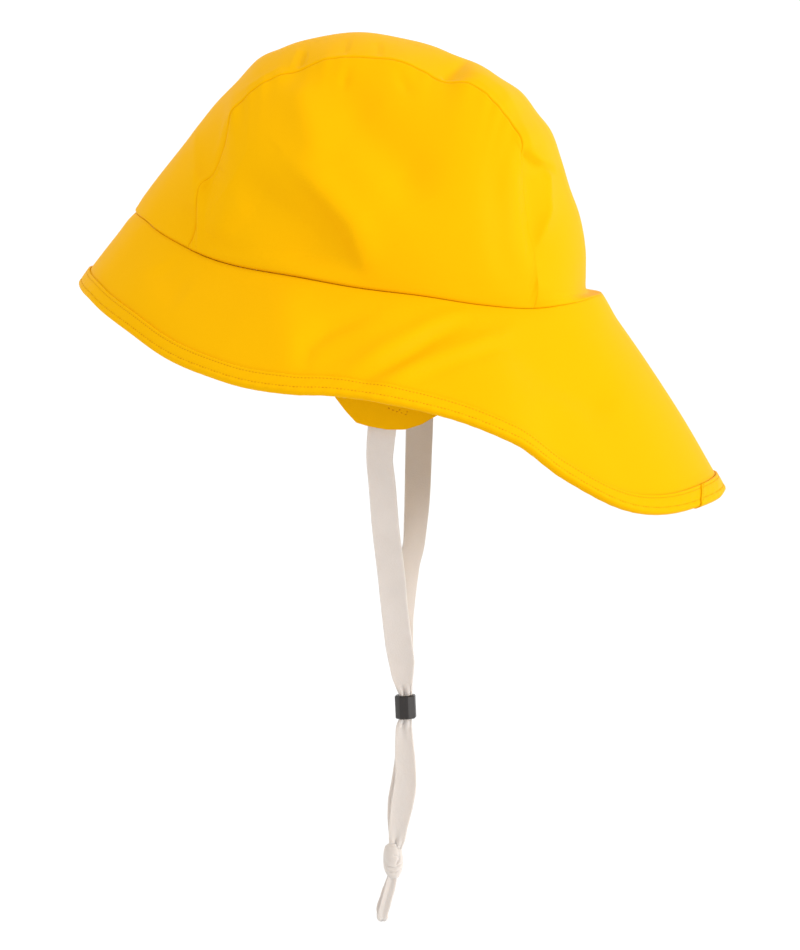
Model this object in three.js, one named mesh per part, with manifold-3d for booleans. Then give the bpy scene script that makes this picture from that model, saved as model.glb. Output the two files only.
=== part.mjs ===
// A sou'wester: a sewn rain hat of coated cloth with a short front brim, a long back brim,
// ear flaps inside and a chin tape with a sliding bead.
// Millimetres, +Z up. The wearer faces -Y, so the long brim points to +Y and the wearer's
// left is +X. The origin is the middle of the head opening, at the crown-brim seam.
import * as THREE from "three";
import Module from "manifold-3d";

const wasm = await Module();
wasm.setup();

// Head opening and crown, measured outside the cloth at the seam.
const headLength = 216;
const headWidth = 176;
const crownHeight = 100;
const stripWidth = 86; // centre panel, across the top of the head
const crownWall = 1.6;
const panelFullness = 0.135; // bulge of a side panel, as a share of its height

// Brim, measured down its slope from the seam to the edge.
const brimFront = 41.6;
const brimSide = 62;
const brimBack = 107;
const brimWall = 1.8;
const brimBow = 1.4; // how far the slope stands out from a straight line

// Folded binding round the brim's edge.
const bindingWidth = 8;
const bindingCloth = 0.8;

// Ear flaps, sewn inside the seam.
const flapWidth = 86;
const flapDepth = 62;
const flapWall = 1.6;
const flapMiddle = 15; // how far the flap's middle lies behind the origin
const flapTurnUp = 2; // how far its sewn edge reaches up inside the crown
const flapLean = 8.5; // how far its lower end leans in towards the neck

// Chin tape, knot and bead.
const tapeWidth = 13;
const tapeThickness = 1;
const knotLength = 19;
const knotWidth = 9.5;
const knotThickness = 8;
const beadWidth = 9.3;
const beadHeight = 11;
const beadBore = 7;

const sewnGap = 0.3; // clearance between pieces that are sewn together

// The oval's seam: its rise at each angle from the front, as a share of the head's length.
const seamRise = [
  { angle: 0, rise: 0.085 },
  { angle: 20, rise: 0.074 },
  { angle: 30, rise: 0.052 },
  { angle: 40, rise: 0.029 },
  { angle: 50, rise: 0.004 },
  { angle: 60, rise: -0.014 },
  { angle: 75, rise: -0.032 },
  { angle: 90, rise: -0.054 },
  { angle: 105, rise: -0.071 },
  { angle: 120, rise: -0.092 },
  { angle: 135, rise: -0.104 },
  { angle: 150, rise: -0.099 },
  { angle: 165, rise: -0.091 },
  { angle: 180, rise: -0.09 },
];

// Angles of the seam at which the crown's three panels meet.
const frontCorner = 44;
const backCorner = 136;

// Middle line of the crown from front to back, between its two ends on the seam.
// along is a share of the head's length, up a share of the crown's height.
const middleLine = [
  { along: -0.427, up: 0.393 },
  { along: -0.362, up: 0.568 },
  { along: -0.321, up: 0.688 },
  { along: -0.284, up: 0.771 },
  { along: -0.232, up: 0.886 },
  { along: -0.19, up: 0.927 },
  { along: -0.147, up: 0.964 },
  { along: -0.083, up: 0.991 },
  { along: -0.008, up: 1.0 },
  { along: 0.067, up: 0.982 },
  { along: 0.131, up: 0.95 },
  { along: 0.184, up: 0.9 },
  { along: 0.237, up: 0.854 },
  { along: 0.28, up: 0.795 },
  { along: 0.327, up: 0.731 },
  { along: 0.365, up: 0.634 },
  { along: 0.393, up: 0.557 },
  { along: 0.415, up: 0.419 },
  { along: 0.432, up: 0.281 },
  { along: 0.447, up: 0.166 },
  { along: 0.462, up: 0.005 },
  { along: 0.465, up: -0.111 },
  { along: 0.469, up: -0.165 },
];

// Seam between the centre panel and a side panel, between its two ends on the oval.
// half is a share of half the strip's width.
const panelSeam = [
  { along: -0.344, up: 0.143, half: 1.37 },
  { along: -0.345, up: 0.237, half: 1.33 },
  { along: -0.339, up: 0.321, half: 1.28 },
  { along: -0.313, up: 0.37, half: 1.23 },
  { along: -0.287, up: 0.518, half: 1.16 },
  { along: -0.275, up: 0.652, half: 1.12 },
  { along: -0.256, up: 0.692, half: 1.07 },
  { along: -0.225, up: 0.759, half: 1.05 },
  { along: -0.18, up: 0.813, half: 1.02 },
  { along: -0.128, up: 0.84, half: 1.0 },
  { along: -0.09, up: 0.88, half: 1.0 },
  { along: -0.044, up: 0.897, half: 1.0 },
  { along: 0.019, up: 0.894, half: 1.0 },
  { along: 0.077, up: 0.881, half: 1.0 },
  { along: 0.13, up: 0.831, half: 1.02 },
  { along: 0.165, up: 0.787, half: 1.05 },
  { along: 0.222, up: 0.778, half: 1.07 },
  { along: 0.253, up: 0.738, half: 1.09 },
  { along: 0.285, up: 0.671, half: 1.14 },
  { along: 0.318, up: 0.582, half: 1.19 },
  { along: 0.333, up: 0.529, half: 1.23 },
  { along: 0.338, up: 0.463, half: 1.28 },
  { along: 0.34, up: 0.285, half: 1.33 },
  { along: 0.351, up: 0.142, half: 1.37 },
  { along: 0.362, up: -0.004, half: 1.42 },
  { along: 0.368, up: -0.142, half: 1.46 },
];

// Brim at each angle from the front: its width as shares of the three named widths, and
// its slope below the horizontal in degrees.
const brimSections = [
  { angle: 0, front: 1, side: 0, back: 0, slope: 51 },
  { angle: 20, front: 0.87, side: 0.13, back: 0, slope: 51 },
  { angle: 40, front: 0.64, side: 0.36, back: 0, slope: 50 },
  { angle: 60, front: 0.22, side: 0.78, back: 0, slope: 51 },
  { angle: 80, front: 0, side: 1, back: 0, slope: 50 },
  { angle: 100, front: 0, side: 0.99, back: 0.01, slope: 50 },
  { angle: 120, front: 0, side: 0.72, back: 0.28, slope: 53 },
  { angle: 130, front: 0, side: 0.42, back: 0.58, slope: 58 },
  { angle: 140, front: 0, side: 0.17, back: 0.83, slope: 60 },
  { angle: 150, front: 0, side: 0.03, back: 0.97, slope: 60 },
  { angle: 165, front: 0, side: 0, back: 1, slope: 58.5 },
  { angle: 180, front: 0, side: 0, back: 1, slope: 57.3 },
];

// Folds and dents of the cloth, each a soft groove (depth below 0) or ridge along a line
// of two halves, seen from the side. along values are shares of the head's length, up
// values of the crown's height, width and depth of the head's length.
// side is 1 for the wearer's left, -1 for the right.
const crownFolds = [
  { side: 1, along0: -0.25, up0: 0.46, along1: -0.1, up1: 0.23, along2: 0.0, up2: -0.02, width: 0.075, depth: -0.019 },
  { side: 1, along0: -0.09, up0: 0.5, along1: 0.0, up1: 0.24, along2: 0.05, up2: -0.02, width: 0.05, depth: 0.011 },
  { side: 1, along0: -0.05, up0: 0.88, along1: 0.0, up1: 0.65, along2: 0.12, up2: 0.33, width: 0.06, depth: -0.01 },
  { side: 1, along0: -0.15, up0: 0.85, along1: -0.12, up1: 0.65, along2: -0.09, up2: 0.48, width: 0.05, depth: 0.008 },
  { side: 1, along0: 0.27, up0: 0.55, along1: 0.3, up1: 0.3, along2: 0.3, up2: 0.0, width: 0.05, depth: 0.01 },
  { side: -1, along0: -0.2, up0: 0.55, along1: -0.06, up1: 0.33, along2: 0.06, up2: 0.0, width: 0.07, depth: -0.015 },
  { side: -1, along0: 0.02, up0: 0.7, along1: 0.1, up1: 0.4, along2: 0.14, up2: 0.02, width: 0.06, depth: 0.01 },
  { side: -1, along0: 0.16, up0: 0.65, along1: 0.22, up1: 0.35, along2: 0.24, up2: 0.0, width: 0.05, depth: -0.009 },
];
const brimFolds = [
  { side: 1, along0: -0.13, up0: -0.44, along1: -0.07, up1: -0.27, along2: 0.08, up2: -0.18, width: 0.04, depth: -0.008 },
  { side: 1, along0: -0.04, up0: -0.5, along1: 0.1, up1: -0.32, along2: 0.22, up2: -0.22, width: 0.035, depth: 0.009 },
  { side: 1, along0: 0.0, up0: -0.52, along1: 0.12, up1: -0.38, along2: 0.22, up2: -0.27, width: 0.03, depth: -0.007 },
  { side: 1, along0: 0.08, up0: -0.53, along1: 0.2, up1: -0.41, along2: 0.3, up2: -0.3, width: 0.035, depth: 0.007 },
  { side: 1, along0: 0.32, up0: -0.38, along1: 0.42, up1: -0.58, along2: 0.52, up2: -0.68, width: 0.06, depth: -0.01 },
  { side: -1, along0: -0.02, up0: -0.48, along1: 0.12, up1: -0.33, along2: 0.24, up2: -0.22, width: 0.045, depth: 0.009 },
  { side: -1, along0: 0.1, up0: -0.5, along1: 0.2, up1: -0.4, along2: 0.3, up2: -0.3, width: 0.04, depth: -0.008 },
  { side: -1, along0: 0.3, up0: -0.4, along1: 0.44, up1: -0.62, along2: 0.56, up2: -0.78, width: 0.07, depth: -0.01 },
];

// Grid of the sewn panels.
const panelSteps = 30; // along the panel seam and the sides of the oval
const stripSteps = 12; // across the centre panel
const panelRows = 10; // from the panel seam down to the oval
const brimRows = 5;
const seamFade = 0.12; // share of a panel over which its folds die out at a seam

const up = new THREE.Vector3(0, 0, 1);
const radians = THREE.MathUtils.degToRad;

// Smooth value of one column of a table at an angle, flat at both ends of the table.
function smoothColumn(table, column, angle) {
  let row = 0;
  while (row < table.length - 2 && angle > table[row + 1].angle) {
    row += 1;
  }
  const slopeAt = (index) => {
    if (index === 0 || index === table.length - 1) {
      return 0;
    }
    const before = table[index - 1];
    const after = table[index + 1];
    return (after[column] - before[column]) / (after.angle - before.angle);
  };
  const a = table[row];
  const b = table[row + 1];
  const span = b.angle - a.angle;
  const t = (angle - a.angle) / span;
  const h = t * t * (3 - 2 * t);
  const leave = (t - 2 * t * t + t * t * t) * span * slopeAt(row);
  const arrive = (t * t * t - t * t) * span * slopeAt(row + 1);
  return a[column] + (b[column] - a[column]) * h + leave + arrive;
}

// Angle from the front, folded to 0-180 because the outline is the same on both sides.
function foldedAngle(angle) {
  const turned = ((angle % 360) + 360) % 360;
  return turned > 180 ? 360 - turned : turned;
}

// The crown-brim seam, a tilted oval, and the level direction out of it.
function seamPoint(angle) {
  const a = radians(angle);
  const rise = smoothColumn(seamRise, "rise", foldedAngle(angle));
  return new THREE.Vector3((headWidth / 2) * Math.sin(a), (-headLength / 2) * Math.cos(a), headLength * rise);
}

function seamOutward(angle) {
  const a = radians(angle);
  return new THREE.Vector3(Math.sin(a) / headWidth, -Math.cos(a) / headLength, 0).normalize();
}

// Height of a soft groove or ridge at a point seen from the side.
function foldHeight(folds, point) {
  let height = 0;
  for (const fold of folds) {
    if (fold.side * point.x < 0) {
      continue;
    }
    const knots = [0, 1, 2].map(
      (index) => new THREE.Vector2(fold[`along${index}`] * headLength, fold[`up${index}`] * crownHeight),
    );
    const spot = new THREE.Vector2(point.y, point.z);
    let nearest = Infinity;
    let place = 0;
    for (const half of [0, 1]) {
      const run = knots[half + 1].clone().sub(knots[half]);
      const t = THREE.MathUtils.clamp(spot.clone().sub(knots[half]).dot(run) / run.lengthSq(), 0, 1);
      const distance = spot.distanceTo(knots[half].clone().addScaledVector(run, t));
      if (distance < nearest) {
        nearest = distance;
        place = (half + t) / 2;
      }
    }
    const across = nearest / (fold.width * headLength);
    const taper = Math.min(1, 0.25 + 4 * place * (1 - place));
    height += fold.depth * headLength * taper * Math.exp(-2 * across * across);
  }
  return height;
}

// Curves of the crown, by length from front (0) to back (1).
function crownCurve(table, firstAngle, lastAngle, halfOf) {
  const points = [seamPoint(firstAngle)];
  for (const row of table) {
    points.push(new THREE.Vector3(halfOf(row), row.along * headLength, row.up * crownHeight));
  }
  points.push(seamPoint(lastAngle));
  const curve = new THREE.CatmullRomCurve3(points, false, "centripetal");
  curve.arcLengthDivisions = 600;
  return curve;
}
const middleCurve = crownCurve(middleLine, 0, 180, () => 0);
const sideCurve = crownCurve(panelSeam, frontCorner, backCorner, (row) => (row.half * stripWidth) / 2);

// Centre panel: u runs from front to back, v from -1 to 1 across.
function stripPoint(u, v) {
  const middle = middleCurve.getPointAt(u);
  const seam = sideCurve.getPointAt(u);
  const point = middle.clone().lerp(seam, v * v);
  point.x = v * seam.x;
  // Its two ends follow the oval.
  for (const end of [0, 1]) {
    const near = Math.max(0, 1 - Math.abs(u - end) / 0.2);
    const endX = v * sideCurve.getPointAt(end).x;
    const turn = THREE.MathUtils.radToDeg(Math.asin((2 * endX) / headWidth));
    const onOval = seamPoint(end === 0 ? turn : 180 - turn);
    const plain = middleCurve.getPointAt(end).lerp(sideCurve.getPointAt(end), v * v);
    point.y += (onOval.y - plain.y) * near * near;
    point.z += (onOval.z - plain.z) * near * near;
  }
  return point;
}

// Angle of the oval below a place on the panel seam.
function footAngle(s) {
  const eased = s - 0.08 * Math.sin(2 * Math.PI * s);
  return THREE.MathUtils.lerp(frontCorner, backCorner, eased);
}

// Side panel: s runs from front to back, t from the panel seam (0) to the oval (1).
function sidePoint(s, t, side) {
  const top = sideCurve.getPointAt(s);
  const foot = seamPoint(footAngle(s));
  const towardsTips = 1 - (2 * s - 1) ** 4;
  const bulge = 4 * t * (1 - t) * panelFullness * towardsTips * top.distanceTo(foot);
  const point = top.clone().lerp(foot, t);
  point.x = side * (point.x + bulge);
  return point;
}

// Brim: r runs down the slope from the seam (0) to the edge (1).
function brimWidthAt(angle) {
  const share = (column) => smoothColumn(brimSections, column, foldedAngle(angle));
  return share("front") * brimFront + share("side") * brimSide + share("back") * brimBack;
}

function brimPoint(angle, r) {
  const slope = radians(smoothColumn(brimSections, "slope", foldedAngle(angle)));
  const outward = seamOutward(angle);
  const down = outward.clone().multiplyScalar(Math.cos(slope)).addScaledVector(up, -Math.sin(slope));
  const facing = outward.clone().multiplyScalar(Math.sin(slope)).addScaledVector(up, Math.cos(slope));
  return seamPoint(angle)
    .addScaledVector(down, brimWidthAt(angle) * r)
    .addScaledVector(facing, brimBow * 4 * r * (1 - r));
}

// Unit normal of a surface given by two parameters, pointing away from a point inside.
function normalOf(surface, a, b, stepA, stepB, inside) {
  const alongA = surface(a + stepA, b).sub(surface(a - stepA, b));
  const alongB = surface(a, b + stepB).sub(surface(a, b - stepB));
  const normal = alongA.cross(alongB).normalize();
  const out = surface(a, b).sub(inside);
  return normal.dot(out) < 0 ? normal.negate() : normal;
}

const belowCrown = new THREE.Vector3(0, 0, -60); // all the crown's cloth faces away from it
const insideSpan = (value, low, high, step) => THREE.MathUtils.clamp(value, low + step, high - step);

function stripNormal(u, v) {
  const step = 0.004;
  return normalOf(stripPoint, insideSpan(u, 0, 1, step), insideSpan(v, -1, 1, step), step, step, belowCrown);
}

function sideNormal(s, t, side) {
  const step = 0.004;
  const surface = (a, b) => sidePoint(a, b, side);
  return normalOf(surface, insideSpan(s, 0, 1, step), insideSpan(t, 0, 1, step), step, step, belowCrown);
}

function brimNormal(angle, r) {
  const below = new THREE.Vector3(0, 0, -2 * brimBack);
  return normalOf(brimPoint, angle, insideSpan(r, 0, 1, 0.004), 1, 0.004, below);
}

// Places along the panel seam, closer together where the panel seam leaves the oval.
const seamPlaces = [0, 0.02];
for (let step = 1; step < panelSteps - 2; step += 1) {
  seamPlaces.push(0.02 + (0.96 * step) / (panelSteps - 2));
}
seamPlaces.push(0.98, 1);
const stripPlaces = Array.from({ length: stripSteps + 1 }, (_, step) => -1 + (2 * step) / stripSteps);

// Angle of the oval at the end of the centre panel, for a place across it.
function stripFootAngle(end, v) {
  const turn = THREE.MathUtils.radToDeg(Math.asin((2 * v * sideCurve.getPointAt(end).x) / headWidth));
  return end === 0 ? turn : 180 - turn;
}

// The shared normal of the panels that meet at a seam, which all their cut edges follow.
function meeting(...normals) {
  const sum = new THREE.Vector3();
  for (const normal of normals) {
    sum.add(normal);
  }
  return sum.normalize();
}

function panelMeeting(s, side) {
  return meeting(stripNormal(s, side), sideNormal(s, 0, side));
}

// Place on the panel seam whose foot is at an angle, found by halving the span.
function placeAbove(angle) {
  let low = 0;
  let high = 1;
  for (let step = 0; step < 40; step += 1) {
    const middle = (low + high) / 2;
    if (footAngle(middle) < angle) {
      low = middle;
    } else {
      high = middle;
    }
  }
  return low;
}

function ovalMeeting(angle) {
  const turned = foldedAngle(angle);
  const side = ((angle % 360) + 360) % 360 > 180 ? -1 : 1;
  const normals = [brimNormal(angle, 0)];
  const tip = 1e-3; // degrees
  if (turned < footAngle(seamPlaces[1]) + tip || turned > footAngle(seamPlaces.at(-2)) - tip) {
    const end = turned < 90 ? 0 : 1;
    const corner = end === 0 ? frontCorner : backCorner;
    const v = Math.min(1, Math.sin(radians(turned)) / Math.sin(radians(corner)));
    normals.push(stripNormal(end, v * side));
  }
  if (turned > frontCorner - tip && turned < backCorner + tip) {
    normals.push(sideNormal(placeAbove(turned), 1, side));
  }
  return meeting(...normals);
}

// A cloth panel: a grid of places with the normal of the cloth and, at its edges, the
// normal of the seam. Each edge is drawn back by half the sewn gap.
function drawBackEdges(grid) {
  const lastRow = grid.length - 1;
  const lastColumn = grid[0].length - 1;
  const shifts = [];
  const shift = (cell, alongEdge, inward) => {
    const across = new THREE.Vector3().crossVectors(cell.meet, alongEdge).normalize();
    if (across.dot(inward) < 0) {
      across.negate();
    }
    shifts.push({ cell, move: across.multiplyScalar(sewnGap / 2) });
  };
  for (let i = 0; i <= lastRow; i += 1) {
    for (const [j, next] of [[0, 1], [lastColumn, lastColumn - 1]]) {
      const along = grid[Math.min(i + 1, lastRow)][j].at.clone().sub(grid[Math.max(i - 1, 0)][j].at);
      shift(grid[i][j], along, grid[i][next].at.clone().sub(grid[i][j].at));
    }
  }
  for (let j = 0; j <= lastColumn; j += 1) {
    for (const [i, next] of [[0, 1], [lastRow, lastRow - 1]]) {
      const along = grid[i][Math.min(j + 1, lastColumn)].at.clone().sub(grid[i][Math.max(j - 1, 0)].at);
      shift(grid[i][j], along, grid[next][j].at.clone().sub(grid[i][j].at));
    }
  }
  for (const { cell, move } of shifts) {
    cell.at.add(move);
  }
}

// Two triangles of a four-sided face, split along its shorter diagonal.
function splitQuad(points, [a, b, c, d]) {
  if (points[a].distanceTo(points[c]) <= points[b].distanceTo(points[d])) {
    return [[a, b, c], [a, c, d]];
  }
  return [[a, b, d], [b, c, d]];
}

// Closed cloth wall of a grid of cells { at, normal, meet }, with its wall on the inside.
function clothWall(grid, wall, wraps = false) {
  const points = [];
  const columns = grid[0].length;
  for (const row of grid) {
    for (const cell of row) {
      points.push(cell.at);
    }
  }
  const inner = points.length;
  for (const row of grid) {
    for (const cell of row) {
      const depth = wall / cell.meet.dot(cell.normal);
      points.push(cell.at.clone().addScaledVector(cell.meet, -depth));
    }
  }
  const triangles = [];
  const quad = (...corners) => triangles.push(...splitQuad(points, corners));
  const rows = grid.length;
  const rowSteps = wraps ? rows : rows - 1;
  for (let i = 0; i < rowSteps; i += 1) {
    const next = (i + 1) % rows;
    for (let j = 0; j < columns - 1; j += 1) {
      quad(i * columns + j, next * columns + j, next * columns + j + 1, i * columns + j + 1);
      quad(
        inner + i * columns + j,
        inner + i * columns + j + 1,
        inner + next * columns + j + 1,
        inner + next * columns + j,
      );
    }
    const last = columns - 1;
    quad(i * columns, inner + i * columns, inner + next * columns, next * columns);
    quad(i * columns + last, next * columns + last, inner + next * columns + last, inner + i * columns + last);
  }
  if (!wraps) {
    const end = (rows - 1) * columns;
    for (let j = 0; j < columns - 1; j += 1) {
      quad(j, j + 1, inner + j + 1, inner + j);
      quad(end + j, inner + end + j, inner + end + j + 1, end + j + 1);
    }
  }
  return solidOf(points, triangles);
}

// A geometry of points and triangles, turned so that its faces point out.
function solidOf(points, triangles) {
  let volume = 0;
  for (const [a, b, c] of triangles) {
    volume += points[a].dot(new THREE.Vector3().crossVectors(points[b], points[c]));
  }
  const index = triangles.flatMap(([a, b, c]) => (volume < 0 ? [a, c, b] : [a, b, c]));
  const geometry = new THREE.BufferGeometry();
  geometry.setAttribute("position", new THREE.Float32BufferAttribute(points.flatMap((p) => p.toArray()), 3));
  geometry.setIndex(index);
  geometry.computeVertexNormals();
  return geometry;
}

// Skin through rings of equally many points, closed on itself or capped at both ends.
function ringSkin(rings, closed) {
  const sides = rings[0].length;
  const points = rings.flat();
  const triangles = [];
  const spans = closed ? rings.length : rings.length - 1;
  for (let i = 0; i < spans; i += 1) {
    const next = (i + 1) % rings.length;
    for (let j = 0; j < sides; j += 1) {
      const turn = (j + 1) % sides;
      const corners = [i * sides + j, next * sides + j, next * sides + turn, i * sides + turn];
      triangles.push(...splitQuad(points, corners));
    }
  }
  if (!closed) {
    const end = (rings.length - 1) * sides;
    for (let j = 1; j < sides - 1; j += 1) {
      triangles.push([0, j, j + 1], [end, end + j + 1, end + j]);
    }
  }
  return solidOf(points, triangles);
}

const yellow = { color: 0xffc600, roughness: 0.5, metalness: 0 };
const cream = { color: 0xe0d6cc, roughness: 0.9, metalness: 0 };
const dark = { color: 0x3c342e, roughness: 0.35, metalness: 0 };

function piece(name, geometry, finish) {
  const mesh = new THREE.Mesh(geometry, new THREE.MeshStandardMaterial({ ...finish, name }));
  mesh.name = name;
  return mesh;
}

// Share of a fold's height that is left near a panel's seams.
function clearOfSeams(...distances) {
  let share = 1;
  for (const distance of distances) {
    share *= THREE.MathUtils.smoothstep(distance, 0, seamFade);
  }
  return share;
}

function crownCentrePanel() {
  const grid = seamPlaces.map((u, i) =>
    stripPlaces.map((v, j) => {
      const normal = stripNormal(u, v);
      let meet = normal;
      if (j === 0 || j === stripSteps) {
        meet = panelMeeting(u, Math.sign(v));
      }
      if (i === 0 || i === seamPlaces.length - 1) {
        meet = ovalMeeting(stripFootAngle(u, v));
      }
      return { at: stripPoint(u, v), normal, meet };
    }),
  );
  drawBackEdges(grid);
  return clothWall(grid, crownWall);
}

function crownSidePanel(side) {
  const places = seamPlaces.slice(1, -1);
  const grid = places.map((s, i) =>
    Array.from({ length: panelRows + 1 }, (_, j) => {
      const t = j / panelRows;
      const normal = sideNormal(s, t, side);
      const at = sidePoint(s, t, side);
      const share = clearOfSeams(t, 1 - t, s, 1 - s);
      at.addScaledVector(normal, foldHeight(crownFolds, at) * share);
      let meet = normal;
      if (j === 0 || i === 0 || i === places.length - 1) {
        meet = panelMeeting(s, side);
      }
      if (j === panelRows) {
        meet = ovalMeeting(side * footAngle(s));
      }
      return { at, normal, meet };
    }),
  );
  drawBackEdges(grid);
  return clothWall(grid, crownWall);
}

// Angles all round the brim, the same as the crown's places on the seam.
function brimAngles() {
  const angles = [];
  const half = stripPlaces.filter((v) => v > 0);
  angles.push(0, ...half.map((v) => stripFootAngle(0, v)));
  angles.push(...seamPlaces.slice(1, -1).map(footAngle));
  angles.push(...half.map((v) => stripFootAngle(1, v)).reverse(), 180);
  const back = angles.slice(1, -1).map((angle) => 360 - angle);
  return [...angles, ...back.reverse()];
}

// The brim's surface with its folds, which the binding follows too.
function foldedBrimPoint(angle, r) {
  const at = brimPoint(angle, r);
  const share = THREE.MathUtils.smoothstep(r, 0, seamFade);
  return at.addScaledVector(brimNormal(angle, r), foldHeight(brimFolds, at) * share);
}

// Share of the brim's slope at which the binding begins.
function bindingStart(angle) {
  return 1 - bindingWidth / brimWidthAt(angle);
}

function brim() {
  const grid = brimAngles().map((angle) => {
    const start = bindingStart(angle);
    const cells = [];
    for (let j = 0; j <= brimRows; j += 1) {
      const r = (start * j) / brimRows;
      cells.push({ at: foldedBrimPoint(angle, r), normal: brimNormal(angle, r) });
    }
    cells.push({ at: foldedBrimPoint(angle, 1), normal: brimNormal(angle, 1) });
    for (const cell of cells) {
      cell.meet = cell.normal;
    }
    cells[0].meet = ovalMeeting(angle);
    return cells;
  });
  // The seam edge is drawn back down the slope.
  const count = grid.length;
  const moves = grid.map((cells, i) => {
    const along = grid[(i + 1) % count][0].at.clone().sub(grid[(i + count - 1) % count][0].at);
    const across = new THREE.Vector3().crossVectors(cells[0].meet, along).normalize();
    const inward = cells[1].at.clone().sub(cells[0].at);
    return across.multiplyScalar((Math.sign(across.dot(inward)) * sewnGap) / 2);
  });
  grid.forEach((cells, i) => cells[0].at.add(moves[i]));
  return clothWall(grid, brimWall, true);
}

// The binding is a channel of folded cloth that holds the brim's edge with a small gap.
function edgeBinding() {
  const near = sewnGap;
  const far = sewnGap + bindingCloth;
  const rings = brimAngles().map((angle) => {
    const start = bindingStart(angle);
    const top = foldedBrimPoint(angle, start);
    const edge = foldedBrimPoint(angle, 1);
    const outward = edge.clone().sub(top).normalize();
    const topNormal = brimNormal(angle, start);
    const edgeNormal = brimNormal(angle, 1);
    const place = (base, normal, lift, out) =>
      base.clone().addScaledVector(normal, lift).addScaledVector(outward, out);
    return [
      place(top, topNormal, far, 0),
      place(edge, edgeNormal, far, near),
      place(edge, edgeNormal, far * 0.4, far),
      place(edge, edgeNormal, -brimWall - far * 0.4, far),
      place(edge, edgeNormal, -brimWall - far, near),
      place(top, topNormal, -brimWall - far, 0),
      place(top, topNormal, -brimWall - near, 0),
      place(edge, edgeNormal, -brimWall - near, near),
      place(edge, edgeNormal, near, near),
      place(top, topNormal, near, 0),
    ];
  });
  return ringSkin(rings, true);
}

// Outer face of an ear flap: q runs across it from -1 to 1, r down from its sewn edge.
const flapInset = crownWall + 2 * sewnGap;
function flapPoint(q, r, side) {
  const y = flapMiddle + (q * flapWidth) / 2;
  const halfLength = headLength / 2 - flapInset;
  const halfWidth = headWidth / 2 - flapInset;
  const angle = THREE.MathUtils.radToDeg(Math.acos(-y / halfLength));
  const hang = flapTurnUp + flapDepth * Math.sqrt(Math.max(0, 1 - Math.abs(q) ** 2.1));
  const drop = hang * r;
  const lean = (flapLean * drop) / (flapDepth + flapTurnUp);
  const x = halfWidth * Math.sin(radians(angle)) - lean;
  return new THREE.Vector3(side * x, y, seamPoint(angle).z + flapTurnUp - drop);
}

function earFlap(side) {
  const across = 12;
  const down = 6;
  const grid = [];
  for (let i = 0; i <= across; i += 1) {
    const q = -Math.cos((Math.PI * i) / across);
    const row = [];
    for (let j = 0; j <= down; j += 1) {
      const surface = (a, b) => flapPoint(a, b, side);
      const origin = new THREE.Vector3(0, flapMiddle, -flapDepth / 2);
      const normal = normalOf(surface, insideSpan(q, -1, 1, 0.01), insideSpan(j / down, 0, 1, 0.01), 0.01, 0.01, origin);
      row.push({ at: flapPoint(q, j / down, side), normal, meet: normal });
    }
    grid.push(row);
  }
  return clothWall(grid, flapWall);
}

// Route of the tape's two strands, from the inside of each flap down to the knot: place,
// width as a share of the tape's width, and the strand's turn about its own run.
const leftStrand = [
  { x: 76.2, y: 11.6, z: -60, width: 1, turn: -5 },
  { x: 75.2, y: 10.9, z: -68, width: 1, turn: -5 },
  { x: 74, y: 10.2, z: -77, width: 1, turn: -4 },
  { x: 67.7, y: 8.9, z: -88.7, width: 0.97, turn: 0 },
  { x: 62.3, y: 9.1, z: -98.3, width: 0.96, turn: 4 },
  { x: 53.4, y: 10.2, z: -113.8, width: 0.98, turn: 6 },
  { x: 43.4, y: 11.2, z: -131.5, width: 1, turn: 4 },
  { x: 32.6, y: 12.7, z: -150.3, width: 1, turn: 0 },
  { x: 21.8, y: 14.2, z: -169.4, width: 0.98, turn: -2 },
  { x: 11.6, y: 15.5, z: -187.2, width: 0.85, turn: 0 },
  { x: 5.3, y: 16.3, z: -198, width: 0.62, turn: 0 },
  { x: 1.3, y: 17, z: -205.8, width: 0.4, turn: 0 },
  { x: 0.9, y: 17, z: -213, width: 0.34, turn: 0 },
  { x: 0.9, y: 17, z: -220.5, width: 0.4, turn: 0 },
  { x: 1.1, y: 16.3, z: -229.6, width: 0.62, turn: 4 },
  { x: 1.2, y: 16.7, z: -240.5, width: 0.76, turn: 6 },
  { x: 1.2, y: 16.5, z: -252.8, width: 0.85, turn: 4 },
  { x: 1.1, y: 14.4, z: -262.3, width: 0.76, turn: 2 },
  { x: 0.9, y: 13.2, z: -270.9, width: 0.66, turn: 0 },
  { x: 0.8, y: 12.4, z: -279, width: 0.5, turn: 0 },
  { x: 0.8, y: 11.1, z: -285, width: 0.42, turn: 0 },
];
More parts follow.
